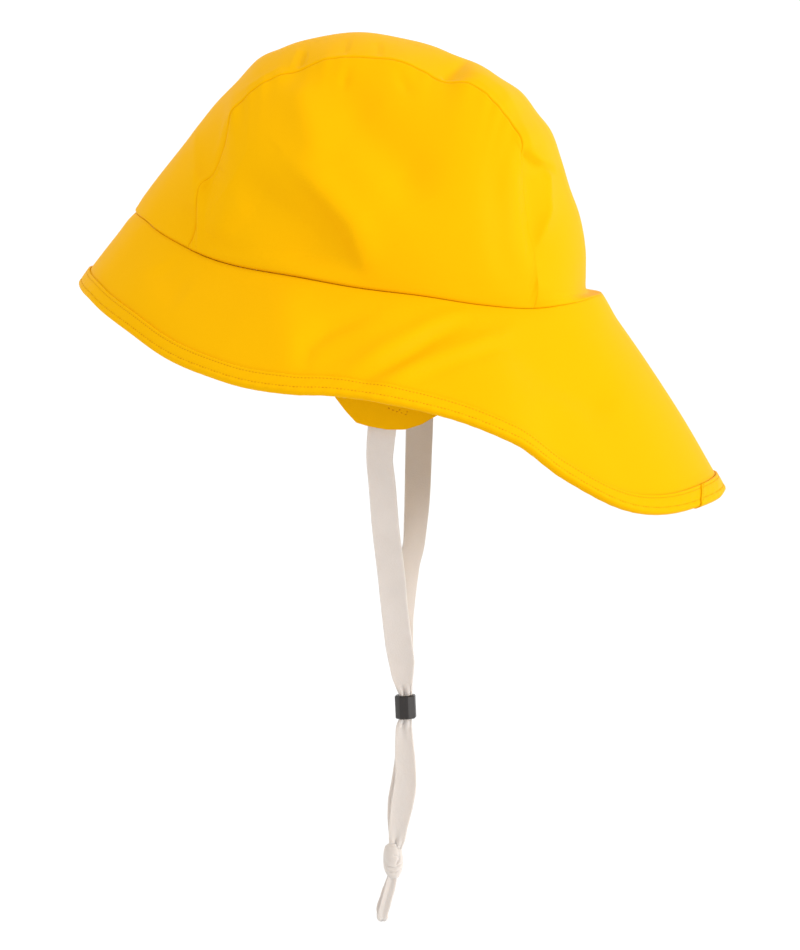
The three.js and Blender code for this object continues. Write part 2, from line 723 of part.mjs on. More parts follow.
const rightStrand = [
  { x: -75.2, y: 20.6, z: -60, width: 1, turn: 9 },
  { x: -74.2, y: 20.5, z: -68, width: 1, turn: 9 },
  { x: -73, y: 20.5, z: -77, width: 1, turn: 8 },
  { x: -69.2, y: 20.4, z: -85.5, width: 1, turn: 4 },
  { x: -63.8, y: 20.2, z: -95.6, width: 1, turn: 4 },
  { x: -54.5, y: 19.2, z: -112, width: 1, turn: 6 },
  { x: -41.9, y: 17.4, z: -134.1, width: 1, turn: 6 },
  { x: -33.7, y: 15.5, z: -148.4, width: 1, turn: 4 },
  { x: -25.4, y: 13.9, z: -163.1, width: 1, turn: 2 },
  { x: -19.2, y: 13.4, z: -173.8, width: 0.95, turn: 0 },
  { x: -11, y: 14.2, z: -188.2, width: 0.8, turn: 0 },
  { x: -5, y: 15.7, z: -199, width: 0.6, turn: 0 },
  { x: -1.3, y: 17, z: -205.8, width: 0.4, turn: 0 },
  { x: -0.9, y: 17, z: -213, width: 0.34, turn: 0 },
  { x: -0.9, y: 17, z: -220.5, width: 0.4, turn: 0 },
  { x: -1.1, y: 16.5, z: -229.6, width: 0.55, turn: -4 },
  { x: -1.2, y: 16.9, z: -240.5, width: 0.7, turn: -6 },
  { x: -1.2, y: 16.4, z: -252.8, width: 0.8, turn: -4 },
  { x: -1.1, y: 14.4, z: -262.3, width: 0.72, turn: -2 },
  { x: -0.9, y: 13.2, z: -270.9, width: 0.62, turn: 0 },
  { x: -0.8, y: 12.4, z: -279, width: 0.48, turn: 0 },
  { x: -0.8, y: 11.1, z: -285, width: 0.42, turn: 0 },
];
const looseEnd = [
  { x: 0, y: 10.2, z: -291, width: 0.5, turn: 0 },
  { x: 0, y: 9.2, z: -297.6, width: 0.72, turn: 0 },
  { x: 0, y: 6.9, z: -305.3, width: 0.62, turn: 0 },
  { x: 0, y: 5.2, z: -311, width: 0.6, turn: 0 },
  { x: 0, y: 5.2, z: -315.2, width: 0.4, turn: 0 },
];
const knotPlace = { x: 0, y: 11.2, z: -287 };

// A flat ribbon of cloth along a route, with its width held towards the front and back.
function ribbon(route, thickness, steps) {
  const line = new THREE.CatmullRomCurve3(route.map((row) => new THREE.Vector3(row.x, row.y, row.z)));
  const rings = [];
  for (let step = 0; step <= steps; step += 1) {
    const place = line.getUtoTmapping(step / steps) * (route.length - 1);
    const row = Math.min(Math.floor(place), route.length - 2);
    const share = place - row;
    const width = THREE.MathUtils.lerp(route[row].width, route[row + 1].width, share) * tapeWidth;
    const turn = radians(THREE.MathUtils.lerp(route[row].turn, route[row + 1].turn, share));
    const at = line.getPointAt(step / steps);
    const run = line.getTangentAt(step / steps);
    const face = new THREE.Vector3().crossVectors(new THREE.Vector3(0, 1, 0), run).normalize();
    const across = new THREE.Vector3().crossVectors(run, face).normalize();
    across.applyAxisAngle(run, turn);
    face.applyAxisAngle(run, turn);
    const section = [
      [0.5, 0.2], [0.38, 0.5], [-0.38, 0.5], [-0.5, 0.2],
      [-0.5, -0.2], [-0.38, -0.5], [0.38, -0.5], [0.5, -0.2],
    ];
    rings.push(
      section.map(([wide, thick]) =>
        at.clone().addScaledVector(across, wide * width).addScaledVector(face, thick * thickness),
      ),
    );
  }
  return ringSkin(rings, false);
}

function asManifold(geometry) {
  const mesh = new wasm.Mesh({
    numProp: 3,
    vertProperties: new Float32Array(geometry.attributes.position.array),
    triVerts: new Uint32Array(geometry.index.array),
  });
  return new wasm.Manifold(mesh);
}

function fromManifold(solid) {
  const { vertProperties, triVerts } = solid.getMesh();
  const geometry = new THREE.BufferGeometry();
  geometry.setAttribute("position", new THREE.Float32BufferAttribute(vertProperties, 3));
  geometry.setIndex(Array.from(triVerts));
  geometry.computeVertexNormals();
  return geometry;
}

// The knot's body, an egg of cloth round both strands.
function knotBody() {
  const rings = [];
  const rounds = 8;
  const sides = 12;
  for (let i = 1; i < rounds; i += 1) {
    const polar = (Math.PI * i) / rounds;
    const ring = [];
    for (let j = 0; j < sides; j += 1) {
      const turn = (2 * Math.PI * j) / sides;
      ring.push(
        new THREE.Vector3(
          knotPlace.x + (knotThickness / 2) * Math.sin(polar) * Math.cos(turn),
          knotPlace.y + (knotWidth / 2) * Math.sin(polar) * Math.sin(turn),
          knotPlace.z + (knotLength / 2) * Math.cos(polar),
        ),
      );
    }
    rings.push(ring);
  }
  return ringSkin(rings, false);
}

function chinTape() {
  let tape = asManifold(knotBody());
  tape = tape.add(asManifold(ribbon(leftStrand, tapeThickness, 32)));
  tape = tape.add(asManifold(ribbon(rightStrand, tapeThickness, 32)));
  tape = tape.add(asManifold(ribbon(looseEnd, knotThickness / 2, 7)));
  return fromManifold(tape);
}

// The bead is a short faceted tube; both strands pass through its bore.
function slideBead() {
  const outer = beadWidth / 2;
  const bore = beadBore / 2;
  const chamfer = 0.5;
  const half = beadHeight / 2;
  const profile = [
    [bore, -half],
    [outer - chamfer, -half],
    [outer, -half + chamfer],
    [outer, half - chamfer],
    [outer - chamfer, half],
    [bore, half],
    [bore, -half],
  ].map(([radius, height]) => new THREE.Vector2(radius, height));
  const lathe = new THREE.LatheGeometry(profile, 12);
  lathe.rotateX(Math.PI / 2);
  lathe.translate(0, 17, -213.2);
  return lathe;
}

const hat = new THREE.Group();
hat.add(
  piece("crown_centre_panel", crownCentrePanel(), yellow),
  piece("crown_side_left", crownSidePanel(1), yellow),
  piece("crown_side_right", crownSidePanel(-1), yellow),
  piece("brim", brim(), yellow),
  piece("edge_binding", edgeBinding(), yellow),
  piece("ear_flap_left", earFlap(1), yellow),
  piece("ear_flap_right", earFlap(-1), yellow),
  piece("chin_tape", chinTape(), cream),
  piece("slide_bead", slideBead(), dark),
);

export default hat;
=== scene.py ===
# %% [markdown]
# # A sou'wester rain hat
# A sou'wester is a rain hat of coated cloth. Three panels make its crown, a brim slopes away
# from it, short in front and long behind, and a strip of the same cloth is folded over the
# brim's edge. Two ear flaps hang inside, and a cotton tape joins them under the chin.
# The plain solids of the hat come in first, as a fixed frame that gives every size and
# place. Each piece of cloth is then made again, finer, on the same surface.

# %% Load the frame
from collections import namedtuple

import bmesh
import bpy
import numpy as np
from mathutils import Matrix, Vector


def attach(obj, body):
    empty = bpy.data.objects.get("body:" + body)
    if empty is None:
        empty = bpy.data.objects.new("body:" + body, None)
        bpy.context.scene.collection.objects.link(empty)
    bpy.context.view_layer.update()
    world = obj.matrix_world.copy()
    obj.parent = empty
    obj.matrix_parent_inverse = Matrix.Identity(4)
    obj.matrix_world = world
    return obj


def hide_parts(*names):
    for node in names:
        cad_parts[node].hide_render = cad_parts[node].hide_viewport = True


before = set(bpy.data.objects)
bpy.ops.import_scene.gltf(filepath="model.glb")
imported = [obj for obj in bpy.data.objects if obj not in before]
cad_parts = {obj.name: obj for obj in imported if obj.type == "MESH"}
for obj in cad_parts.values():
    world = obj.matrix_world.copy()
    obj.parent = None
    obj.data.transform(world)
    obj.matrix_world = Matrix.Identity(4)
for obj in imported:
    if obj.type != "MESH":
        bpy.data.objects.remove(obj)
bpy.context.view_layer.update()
MM = 0.001
print("Nodes of the frame:", sorted(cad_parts))

# %% [markdown]
# ## The camera
# The photograph was taken from the hat's left side, a little behind and above it, with a
# long lens. A camera can be placed by angles or by looking at a target. A target is used
# here, because the hat's size in the picture then follows from one distance and the lens.

# %% Camera
PICTURE_HEIGHT = 950  # pixels
SENSOR = 36  # millimetres, along the picture's long side
TARGET = Vector((0, 14.4, -104.4)) * MM
DISTANCE = 2.0
MM_PER_PIXEL = 0.465  # at the target


def direction(azimuth, elevation):
    """Unit vector from the hat towards a viewer: azimuth 0 is in front, 90 at its left."""
    a, e = np.radians((azimuth, elevation))
    return Vector((np.sin(a) * np.cos(e), -np.cos(a) * np.cos(e), np.sin(e)))


def add_object(name, data):
    made = bpy.data.objects.new(name, data)
    bpy.context.scene.collection.objects.link(made)
    return made


towards_camera = direction(93, 6)
camera = add_object("camera", bpy.data.cameras.new("camera"))
camera.data.sensor_width = SENSOR
camera.data.lens = SENSOR * DISTANCE / (PICTURE_HEIGHT * MM_PER_PIXEL * MM)
camera.location = TARGET + DISTANCE * towards_camera
camera.rotation_euler = towards_camera.to_track_quat("Z", "Y").to_euler()
bpy.context.scene.camera = camera
print("Lens, mm:", round(camera.data.lens, 1))

# %% [markdown]
# ## Smooth lines through a few points
# Seams and tapes run along smooth lines. Blender's own curves could carry them, but the
# cloth has to ask for the point at any share of a line's length. So a small function
# does that: it joins the points with a Catmull-Rom curve and measures it once.

# %% A line by its length
SAMPLES = 1200  # steps in which a line is measured


def lengths_along(points):
    """How far along a row of points each of them lies."""
    steps = np.linalg.norm(np.diff(points, axis=0), axis=1)
    return np.concatenate([[0], np.cumsum(steps)])


def rows_at(places, known, rows):
    """Rows of numbers, each known at one place, worked out at other places."""
    return np.stack([np.interp(places, known, column) for column in rows.T], axis=-1)


def smooth_line(points):
    """Returns (point at a share of the length, place among the points, length)."""
    points = np.asarray(points, float)
    ends = 2 * points[0] - points[1], 2 * points[-1] - points[-2]
    padded = np.vstack([ends[0], points, ends[1]])
    gaps = np.sqrt(np.linalg.norm(np.diff(padded, axis=0), axis=1))
    last = len(points) - 2

    def at_place(place):
        first = np.clip(place.astype(int), 0, last)
        w = (place - first)[:, None]
        p0, p1, p2, p3 = (padded[first + k] for k in range(4))
        g0, g1, g2 = (gaps[first + k][:, None] for k in range(3))
        leave = ((p1 - p0) / g0 - (p2 - p0) / (g0 + g1) + (p2 - p1) / g1) * g1
        arrive = ((p2 - p1) / g1 - (p3 - p1) / (g1 + g2) + (p3 - p2) / g2) * g1
        square = 3 * (p2 - p1) - 2 * leave - arrive
        cube = 2 * (p1 - p2) + leave + arrive
        return p1 + leave * w + square * w**2 + cube * w**3

    places = np.linspace(0, last + 1, SAMPLES + 1)
    reached = lengths_along(at_place(places))

    def place_of(share):
        return np.interp(np.asarray(share) * reached[-1], reached, places)

    return (lambda share: at_place(place_of(share))), place_of, reached[-1]


# %% [markdown]
# ## Pieces and normals
# Every piece starts as a flat grid from bmesh. Its two coordinates are the measures of a
# surface, along and across, and a function moves each vertex to its place. This keeps the
# faces in tidy rows that follow the cloth, which sculpting or remeshing would lose, and
# the same two measures make a UV map in metres, so a weave has its true scale.

# %% Helpers for pieces
SAME_PLACE = 0.005 * MM


def unit(vectors):
    return vectors / np.linalg.norm(vectors, axis=-1, keepdims=True)


def smoothstep(value, low, high):
    t = np.clip((value - low) / (high - low), 0, 1)
    return t * t * (3 - 2 * t)


def mesh_from(name, bm):
    mesh = bpy.data.meshes.new(name)
    bm.to_mesh(mesh)
    bm.free()
    return mesh


def finish_piece(name, bm, stands_for=()):
    """Turns a bmesh into a smooth-shaded object that rides with the hat."""
    mesh = mesh_from(name, bm)
    mesh.shade_smooth()
    piece = add_object(name, mesh)
    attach(piece, "root")
    if stands_for:
        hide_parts(*stands_for)
    print(name, len(mesh.polygons), "faces")
    return piece


def moved_grid(columns, rows, place, fullness=None):
    """A grid whose vertices are moved by place(along, across), which also gives UVs.

    fullness(along, across) is the share of the cloth's thickness that a place gets.
    """
    bm = bmesh.new()
    bmesh.ops.create_grid(bm, x_segments=columns, y_segments=rows, size=0.5)
    bm.verts.index_update()
    start = np.array([vert.co[:2] for vert in bm.verts]) + 0.5
    points, maps = place(start[:, 0], start[:, 1])
    layer = bm.loops.layers.uv.new("cloth")
    for vert, point in zip(bm.verts, points):
        vert.co = point
    for face in bm.faces:
        for loop in face.loops:
            loop[layer].uv = maps[loop.vert.index]
    if fullness:
        weights = fullness(start[:, 0], start[:, 1])
        deform = bm.verts.layers.deform.verify()
        for vert, weight in zip(bm.verts, weights):
            vert[deform][0] = weight
    bm.normal_update()
    return bm


def merge_ends(bm):
    """Joins vertices that share a place, where a grid closes or comes to a point."""
    bmesh.ops.remove_doubles(bm, verts=bm.verts, dist=SAME_PLACE)
    bm.normal_update()


def face_away_from(bm, inside):
    """Turns all faces if most of them look towards the point inside."""
    out = sum(face.normal.dot(face.calc_center_median() - inside) for face in bm.faces)
    if out < 0:
        bmesh.ops.reverse_faces(bm, faces=bm.faces)


def give_wall(piece, wall, offset=-1, lined=False):
    solidify = piece.modifiers.new("wall", "SOLIDIFY")
    solidify.thickness = wall
    solidify.offset = offset
    # A lined piece's inner face takes its second material.
    solidify.material_offset = int(lined)


def thin_sewn_edges(piece):
    """Lets the wall follow the fullness that moved_grid stored."""
    group = piece.vertex_groups.new(name="fullness")
    piece.modifiers["wall"].vertex_group = group.name


def lined_piece(name, node, bm, slot, wall, inside):
    """Cloth that stands for a node, with its lining on the side of the point inside."""
    face_away_from(bm, Vector(inside))
    piece = finish_piece(name, bm, [node])
    give_wall(piece, wall, lined=True)
    return piece


def side_word(side):
    return "left" if side > 0 else "right"


# %% [markdown]
# ## The chin tape
# A flat cotton tape about 13 mm wide comes down from inside each ear flap. The two runs
# are squeezed together in the bead, hang on as a doubled length and are tied in a knot.
# A tape could be a curve with a flat bevel, but a curve can't narrow into pleats, so each
# run is a grid that follows a list of chosen points, with its width at each of them.

# %% Routes of the tape
TAPE_WIDTH = 13 * MM
TAPE_THICKNESS = 0.9 * MM
TAPE_CAMBER = 0.5 * MM
GATHERED = 0.66  # share of its width below which the tape folds into pleats
PLEAT_HEIGHT = 0.24  # of the slack in its width
# Each row is x, y, z in millimetres, the width as a share of the tape's, and its turn in
# degrees about its own run.
LEFT_RUN = (
    (76.2, 11.6, -60, 1, 0), (75.2, 10.9, -68, 1, 0), (74, 10.1, -76.9, 0.98, 0),
    (70, 9.2, -84.5, 0.95, 0), (66, 8.7, -91.2, 0.91, 0), (58.5, 9.4, -103.3, 0.94, 0),
    (46, 10.2, -123.4, 0.95, 0), (30, 12.2, -149.8, 0.97, 0), (22.5, 12.8, -161.9, 0.95, 0),
    (9.5, 14.6, -184.4, 0.97, 0), (5.5, 15.4, -191.5, 0.93, 0), (3, 15.8, -198.9, 0.77, 0),
    (1.6, 16.4, -203.7, 0.58, 0), (1, 17, -207.2, 0.43, 0), (0.9, 17, -213, 0.38, 0),
    (0.9, 16.9, -219.5, 0.43, 0), (1, 16.3, -223.3, 0.58, 0), (1.1, 16.4, -229.4, 0.65, 0),
    (1.2, 16.8, -237, 0.72, 0), (1.2, 17.1, -246.5, 0.76, 0), (1.2, 16.6, -252.7, 0.82, 0),
    (1.2, 15.3, -260.3, 0.8, 0), (1.1, 13.8, -269.3, 0.68, 0), (1, 13.1, -275.5, 0.58, 0),
    (0.8, 12.3, -280.3, 0.42, 0), (0.5, 11.2, -285, 0.38, 0),
)
RIGHT_RUN = (
    (-75.2, 20.6, -60, 1, 0), (-74.2, 20.4, -70, 1, 0), (-72, 20.2, -79.5, 1, 0),
    (-68, 20.2, -87.3, 1, 0), (-59.8, 20.1, -102, 0.97, 4), (-51.3, 20, -117, 0.95, 12),
    (-47, 19.8, -124.7, 0.94, 21), (-42.4, 19.4, -132.8, 0.94, 32),
    (-37.3, 18.8, -141.8, 0.93, 41), (-33.5, 17.4, -148.5, 0.91, 43),
    (-25.4, 15.9, -163.1, 0.88, 44), (-19.2, 14.9, -173.8, 0.84, 36),
    (-11, 15, -188.2, 0.78, 15), (-5, 15.9, -199, 0.62, 5), (-1.3, 17, -207.2, 0.43, 0),
    (-0.9, 17, -213, 0.38, 0), (-0.9, 16.9, -219.5, 0.43, 0), (-1, 16.3, -226, 0.55, 0),
    (-1.2, 16.1, -237, 0.62, 0), (-1.3, 15.2, -248, 0.72, 0), (-1.3, 13.8, -258, 0.78, 0),
    (-1.2, 13.2, -266, 0.72, 0), (-1.1, 12.9, -272, 0.62, 0), (-0.8, 12.2, -280.3, 0.42, 0),
    (-0.5, 11.2, -285, 0.38, 0),
)


# %% A run of tape
def tape_frame(run, share):
    """Place, direction across, direction of the face and width along a run of tape."""
    rows = np.array(run)
    at, place_of, length = smooth_line(rows[:, :3] * MM)
    place = place_of(share)
    width = np.interp(place, range(len(rows)), rows[:, 3]) * TAPE_WIDTH
    turn = np.radians(np.interp(place, range(len(rows)), rows[:, 4]))[:, None]
    step = 0.002
    along = unit(at(np.clip(share + step, 0, 1)) - at(np.clip(share - step, 0, 1)))
    face = unit(np.cross((0, 1, 0), along))
    across = np.cross(along, face)
    across, face = (
        across * np.cos(turn) + face * np.sin(turn),
        face * np.cos(turn) - across * np.sin(turn),
    )
    return at(share), across, face, width, length


def tape_run(name, run, pleat_side):
    def place(p, q):
        middle, across, face, width, length = tape_frame(run, p)
        shift = (q - 0.5) * width
        # Where the tape is squeezed, its slack stands up in two soft pleats.
        slack = np.clip(GATHERED * TAPE_WIDTH - width, 0, None)
        pleat = PLEAT_HEIGHT * slack * np.cos(4 * np.pi * (q - 0.5) + 0.9)
        camber = TAPE_CAMBER * (1 - (2 * q - 1) ** 2)
        lift = pleat_side * (pleat + camber)
        points = middle + across * shift[:, None] + face * lift[:, None]
        return points, np.stack([p * length, q * TAPE_WIDTH], axis=1)

    piece = finish_piece(name, moved_grid(320, 24, place), ["chin_tape"])
    give_wall(piece, TAPE_THICKNESS, offset=0)
    route, _, length = smooth_line(np.array(run)[:, :3] * MM)
    print(name, "length in metres:", round(length, 4))
    return piece, route(np.linspace(0, 1, 60)), length


left_tape, left_route, left_length = tape_run("chin_tape_left", LEFT_RUN, 1)
right_tape, right_route, right_length = tape_run("chin_tape_right", RIGHT_RUN, -1)

# %% [markdown]
# ## The knot and the loop below it
# Under the doubled tape sits an overhand knot: a soft lump with one turn wrapped round it,
# and below it the folded end of the tape. A knot could be tied by following its true path,
# but cloth pulled tight loses its gaps and only its creases are left. So the knot is a
# ball from bmesh whose vertices are moved to its outline and sunk along the creases.

# %% Knot
KNOT_PLACE = np.array((0, 11.2, -286.8)) * MM
KNOT_HALF_LENGTH = 9 * MM
KNOT_THICKNESS = 8 * MM
# From the lower end to the upper: height as a share of half its length, and how far the
# knot reaches to the front and to the back of the hat there, in millimetres.
KNOT_OUTLINE = (
    (-1, 0, 0), (-0.96, 1.2, 1.2), (-0.84, 2.3, 2.5), (-0.7, 3.1, 3.3), (-0.5, 4.0, 4.1),
    (-0.3, 4.5, 4.5), (0, 4.7, 4.7), (0.3, 4.7, 4.5), (0.6, 4.4, 4.0), (0.8, 3.9, 2.8),
    (0.93, 2.6, 2.0), (1, 0, 0),
)
# Creases between the turns: a line in millimetres from the knot's middle, towards the
# hat's back and up, then its depth and width in millimetres.
KNOT_CREASES = (
    (((2.0, 7.8), (3.2, 5.2), (3.1, 1.8), (2.0, -0.6)), 0.8, 0.5),
    (((0.6, 3.7), (1.6, 3.5), (2.8, 2.9)), 0.5, 0.4),
    (((-2.4, -2.2), (0.6, -2.8), (2.6, -1.9), (4.4, -0.6)), 0.75, 0.5),
    (((-1.4, -4.6), (1.0, -5.2), (3.9, -3.4)), 0.6, 0.45),
    (((-4.6, 2.8), (-3.2, -0.6), (-2.6, -4.8)), 0.35, 0.6),
)


def nearest_on(route, spots):
    """Distance of flat spots to a route, the place along it, and the side they lie on."""
    nearest = np.full(len(spots), np.inf)
    place, lies = np.zeros(len(spots)), np.zeros(len(spots))
    for k, run in enumerate(np.diff(route, axis=0)):
        t = np.clip((spots - route[k]) @ run / (run @ run), 0, 1)
        away = spots - route[k] - t[:, None] * run
        distance = np.linalg.norm(away, axis=1)
        closer = distance < nearest
        nearest = np.where(closer, distance, nearest)
        place = np.where(closer, (k + t) / (len(route) - 1), place)
        lies = np.where(closer, np.sign(run[0] * away[:, 1] - run[1] * away[:, 0]), lies)
    return nearest, place, lies


def knot():
    bm = bmesh.new()
    bmesh.ops.create_uvsphere(bm, u_segments=144, v_segments=120, radius=1)
    ball = np.array([vert.co for vert in bm.verts])
    around = ball[:, :2] / np.maximum(np.hypot(ball[:, 0], ball[:, 1]), 1e-6)[:, None]
    heights, front, back = np.array(KNOT_OUTLINE).T
    reach = np.where(
        around[:, 1] < 0, np.interp(ball[:, 2], heights, front), np.interp(ball[:, 2], heights, back)
    )
    bulk = np.interp(ball[:, 2], heights, (front + back) / (front + back).max())
    points = np.stack(
        [around[:, 0] * bulk * KNOT_THICKNESS / 2, around[:, 1] * reach * MM,
         ball[:, 2] * KNOT_HALF_LENGTH],
        axis=1,
    )
    sunk = np.zeros(len(points))
    for route, depth, width in KNOT_CREASES:
        spots = points[:, 1:] / MM
        # The turns go on round the far side, where they are seen the other way round.
        spots = np.where(points[:, :1] < 0, spots * (-1, 1), spots)
        distance, _, _ = nearest_on(np.array(route), spots)
        sunk += depth * np.exp(-((distance / width) ** 2))
    points -= unit(points) * sunk[:, None] * MM * np.abs(around[:, :1])
    for vert, point in zip(bm.verts, points):
        vert.co = KNOT_PLACE + point
    return finish_piece("chin_knot", bm, ["chin_tape"])


chin_knot = knot()

# %% Loop end
LOOP_CAMBER = 0.35 * MM
LOOP_ROUNDING = 2.1 * MM  # how far the fold's two sides are drawn up
LOOP_RUN = (
    (0.6, 11.4, -290.5, 0.3, 0), (0.9, 11.0, -293.5, 0.33, 0), (1.2, 10.3, -297, 0.37, 0),
    (1.4, 9.3, -301, 0.38, 0), (1.4, 8.2, -305, 0.37, 0), (1.3, 7.4, -308.5, 0.38, 0),
    (1.0, 6.7, -311.5, 0.36, 0), (0.6, 6.4, -314.2, 0.33, 0), (0, 6.2, -315.3, 0.32, 0),
    (-0.6, 5.9, -314.2, 0.34, 0), (-1.0, 5.7, -311.5, 0.38, 0), (-1.3, 6.1, -308.5, 0.4, 0),
    (-1.4, 7.3, -305, 0.4, 0), (-1.4, 8.5, -301, 0.4, 0), (-1.2, 9.8, -297, 0.36, 0),
    (-0.9, 10.8, -293.5, 0.33, 0), (-0.6, 11.4, -290.5, 0.3, 0),
)


def loop_end():
    def place(p, q):
        middle, across, face, width, length = tape_frame(LOOP_RUN, p)
        shift = (q - 0.5) * width
        lift = LOOP_CAMBER * np.cos(2 * np.pi * (q - 0.5))
        points = middle + across * shift[:, None] + face * lift[:, None]
        # The fold at the very end is round.
        at_fold = np.exp(-(((p - 0.5) / 0.1) ** 2))
        points[:, 2] += LOOP_ROUNDING * (2 * q - 1) ** 2 * at_fold
        return points, np.stack([p * length, q * TAPE_WIDTH], axis=1)

    bm = moved_grid(120, 16, place)
    piece = finish_piece("chin_tape_loop", bm, ["chin_tape"])
    give_wall(piece, 1.5 * TAPE_THICKNESS, offset=0)
    return piece


tape_loop = loop_end()

# %% [markdown]
# ## The bead
# The two runs pass through a short eight-sided bead of dark plastic. A cylinder with a
# hole cut in it would do, but its faces would need a boolean. Here the outline of the wall
# is drawn once and spun in eight steps, which gives the flats, the bore and the chamfers
# together, and a small bevel rounds the corners as a mould does.

# %% Bead
BEAD_PLACE = Vector((0, 17, -213.2)) * MM
BEAD_WIDTH = 10.1 * MM
BEAD_HEIGHT = 11 * MM
BEAD_BORE = 7.2 * MM
BEAD_SIDES = 8
BEAD_CHAMFER = 0.5 * MM
BEAD_ROUNDING = 0.35 * MM  # of its upright edges
BEAD_TURN = 16  # degrees about the tape
BEAD_LEAN = 2.5  # degrees to the back


def slide_bead():
    outer, bore, top = BEAD_WIDTH / 2, BEAD_BORE / 2, BEAD_HEIGHT / 2
    outline = (
        (bore, -top), (outer - BEAD_CHAMFER, -top), (outer, -top + BEAD_CHAMFER),
        (outer, top - BEAD_CHAMFER), (outer - BEAD_CHAMFER, top), (bore, top),
    )
    bm = bmesh.new()
    corners = [bm.verts.new((radius, 0, height)) for radius, height in outline]
    edges = [bm.edges.new((corners[k - 1], corners[k])) for k in range(len(corners))]
    bmesh.ops.spin(
        bm, geom=corners + edges, cent=(0, 0, 0), axis=(0, 0, 1),
        angle=2 * np.pi, steps=BEAD_SIDES, use_merge=True,
    )
    bmesh.ops.recalc_face_normals(bm, faces=bm.faces)
    long_edges = [
        edge for edge in bm.edges
        if abs(edge.verts[0].co.z - edge.verts[1].co.z) > BEAD_HEIGHT / 2
        and edge.verts[0].co.xy.length > (outer + bore) / 2
    ]
    bmesh.ops.bevel(
        bm, geom=long_edges, offset=BEAD_ROUNDING, offset_type="OFFSET", segments=3,
        profile=0.5, affect="EDGES", material=-1,
    )
    turn = Matrix.Rotation(np.radians(BEAD_TURN), 4, "Z")
    lean = Matrix.Rotation(np.radians(BEAD_LEAN), 4, "X")
    bmesh.ops.transform(bm, matrix=Matrix.Translation(BEAD_PLACE) @ lean @ turn, verts=bm.verts)
    piece = finish_piece("slide_bead_faceted", bm, ["slide_bead"])
    piece.data.set_sharp_from_angle(angle=np.radians(25))
    return piece


bead = slide_bead()

# %% [markdown]
# ## How long the tape is
# The length of each run of tape is printed.

print("Two runs of tape, metres:", round(left_length, 3), round(right_length, 3))

# %% [markdown]
# ## The hat's surfaces
# Where crown and brim meet is a tilted oval, and everything is measured from it. Short
# tables like those of the solids give its height round the head, the middle line of the
# crown, the seam between its panels, and the width and slope of the brim. The cloth could
# be wrapped onto the solids instead, but their facets would show through. So its surfaces
# are worked out anew, and lie within a few millimetres of them.

# %% Sizes of the hat
HEAD_LENGTH = 216 * MM
HEAD_WIDTH = 176 * MM
CROWN_HEIGHT = 100 * MM
STRIP_WIDTH = 86 * MM
CROWN_WALL = 1.6 * MM
PANEL_CLOTH = 1 * MM  # a single layer of the crown's cloth
PANEL_FULLNESS = 0.135
BRIM_FRONT = 41.6 * MM
BRIM_SIDE = 62 * MM
BRIM_BACK = 107 * MM
BRIM_WALL = 1.8 * MM
BRIM_BOW = 1.4 * MM
FRONT_CORNER = 44
BACK_CORNER = 136
# Angle from the front, and the oval's rise there as a share of the head's length.
SEAM_RISE = (
    (0, 0.085), (20, 0.074), (30, 0.052), (40, 0.029), (50, 0.004), (60, -0.014),
    (75, -0.032), (90, -0.054), (105, -0.071), (120, -0.092), (135, -0.104),
    (150, -0.099), (165, -0.091), (180, -0.09),
)
# Share of the head's length behind the middle, and share of the crown's height.
MIDDLE_LINE = (
    (-0.427, 0.403), (-0.362, 0.58), (-0.321, 0.688), (-0.284, 0.771), (-0.232, 0.886),
    (-0.19, 0.927), (-0.147, 0.964), (-0.083, 0.991), (-0.008, 1.0), (0.067, 0.982),
    (0.131, 0.95), (0.184, 0.9), (0.237, 0.854), (0.28, 0.795), (0.327, 0.731),
    (0.362, 0.632), (0.389, 0.554), (0.411, 0.418), (0.429, 0.281), (0.447, 0.166),
    (0.462, 0.005), (0.465, -0.111), (0.4655, -0.168), (0.4685, -0.187),
)
# The same two shares, and half the strip's width there as a share of its usual half.
PANEL_SEAM = (
    (-0.344, 0.143, 1.37), (-0.345, 0.237, 1.33), (-0.339, 0.321, 1.28),
    (-0.313, 0.37, 1.23), (-0.287, 0.518, 1.16), (-0.275, 0.652, 1.12),
    (-0.256, 0.692, 1.07), (-0.225, 0.759, 1.05), (-0.18, 0.813, 1.02),
    (-0.128, 0.84, 1.0), (-0.09, 0.88, 1.0), (-0.044, 0.897, 1.0), (0.019, 0.894, 1.0),
    (0.077, 0.881, 1.0), (0.13, 0.831, 1.02), (0.165, 0.787, 1.05), (0.222, 0.778, 1.07),
    (0.253, 0.738, 1.09), (0.285, 0.671, 1.14), (0.318, 0.582, 1.19), (0.333, 0.529, 1.23),
    (0.338, 0.463, 1.28), (0.34, 0.285, 1.33), (0.351, 0.142, 1.37), (0.362, -0.004, 1.42),
    (0.368, -0.142, 1.46),
)
# Angle, shares of the front, side and back widths of the brim, and its slope in degrees.
BRIM_SECTIONS = (
    (0, 1, 0, 0, 51), (20, 0.87, 0.13, 0, 51), (40, 0.64, 0.36, 0, 50),
    (60, 0.22, 0.78, 0, 51), (80, 0, 1, 0, 50), (100, 0, 0.99, 0.01, 50),
    (120, 0, 0.72, 0.28, 53), (130, 0, 0.42, 0.58, 58), (140, 0, 0.17, 0.83, 60),
    (150, 0, 0.03, 0.97, 60), (165, 0, 0, 1, 58.5), (180, 0, 0, 1, 57.3),
)
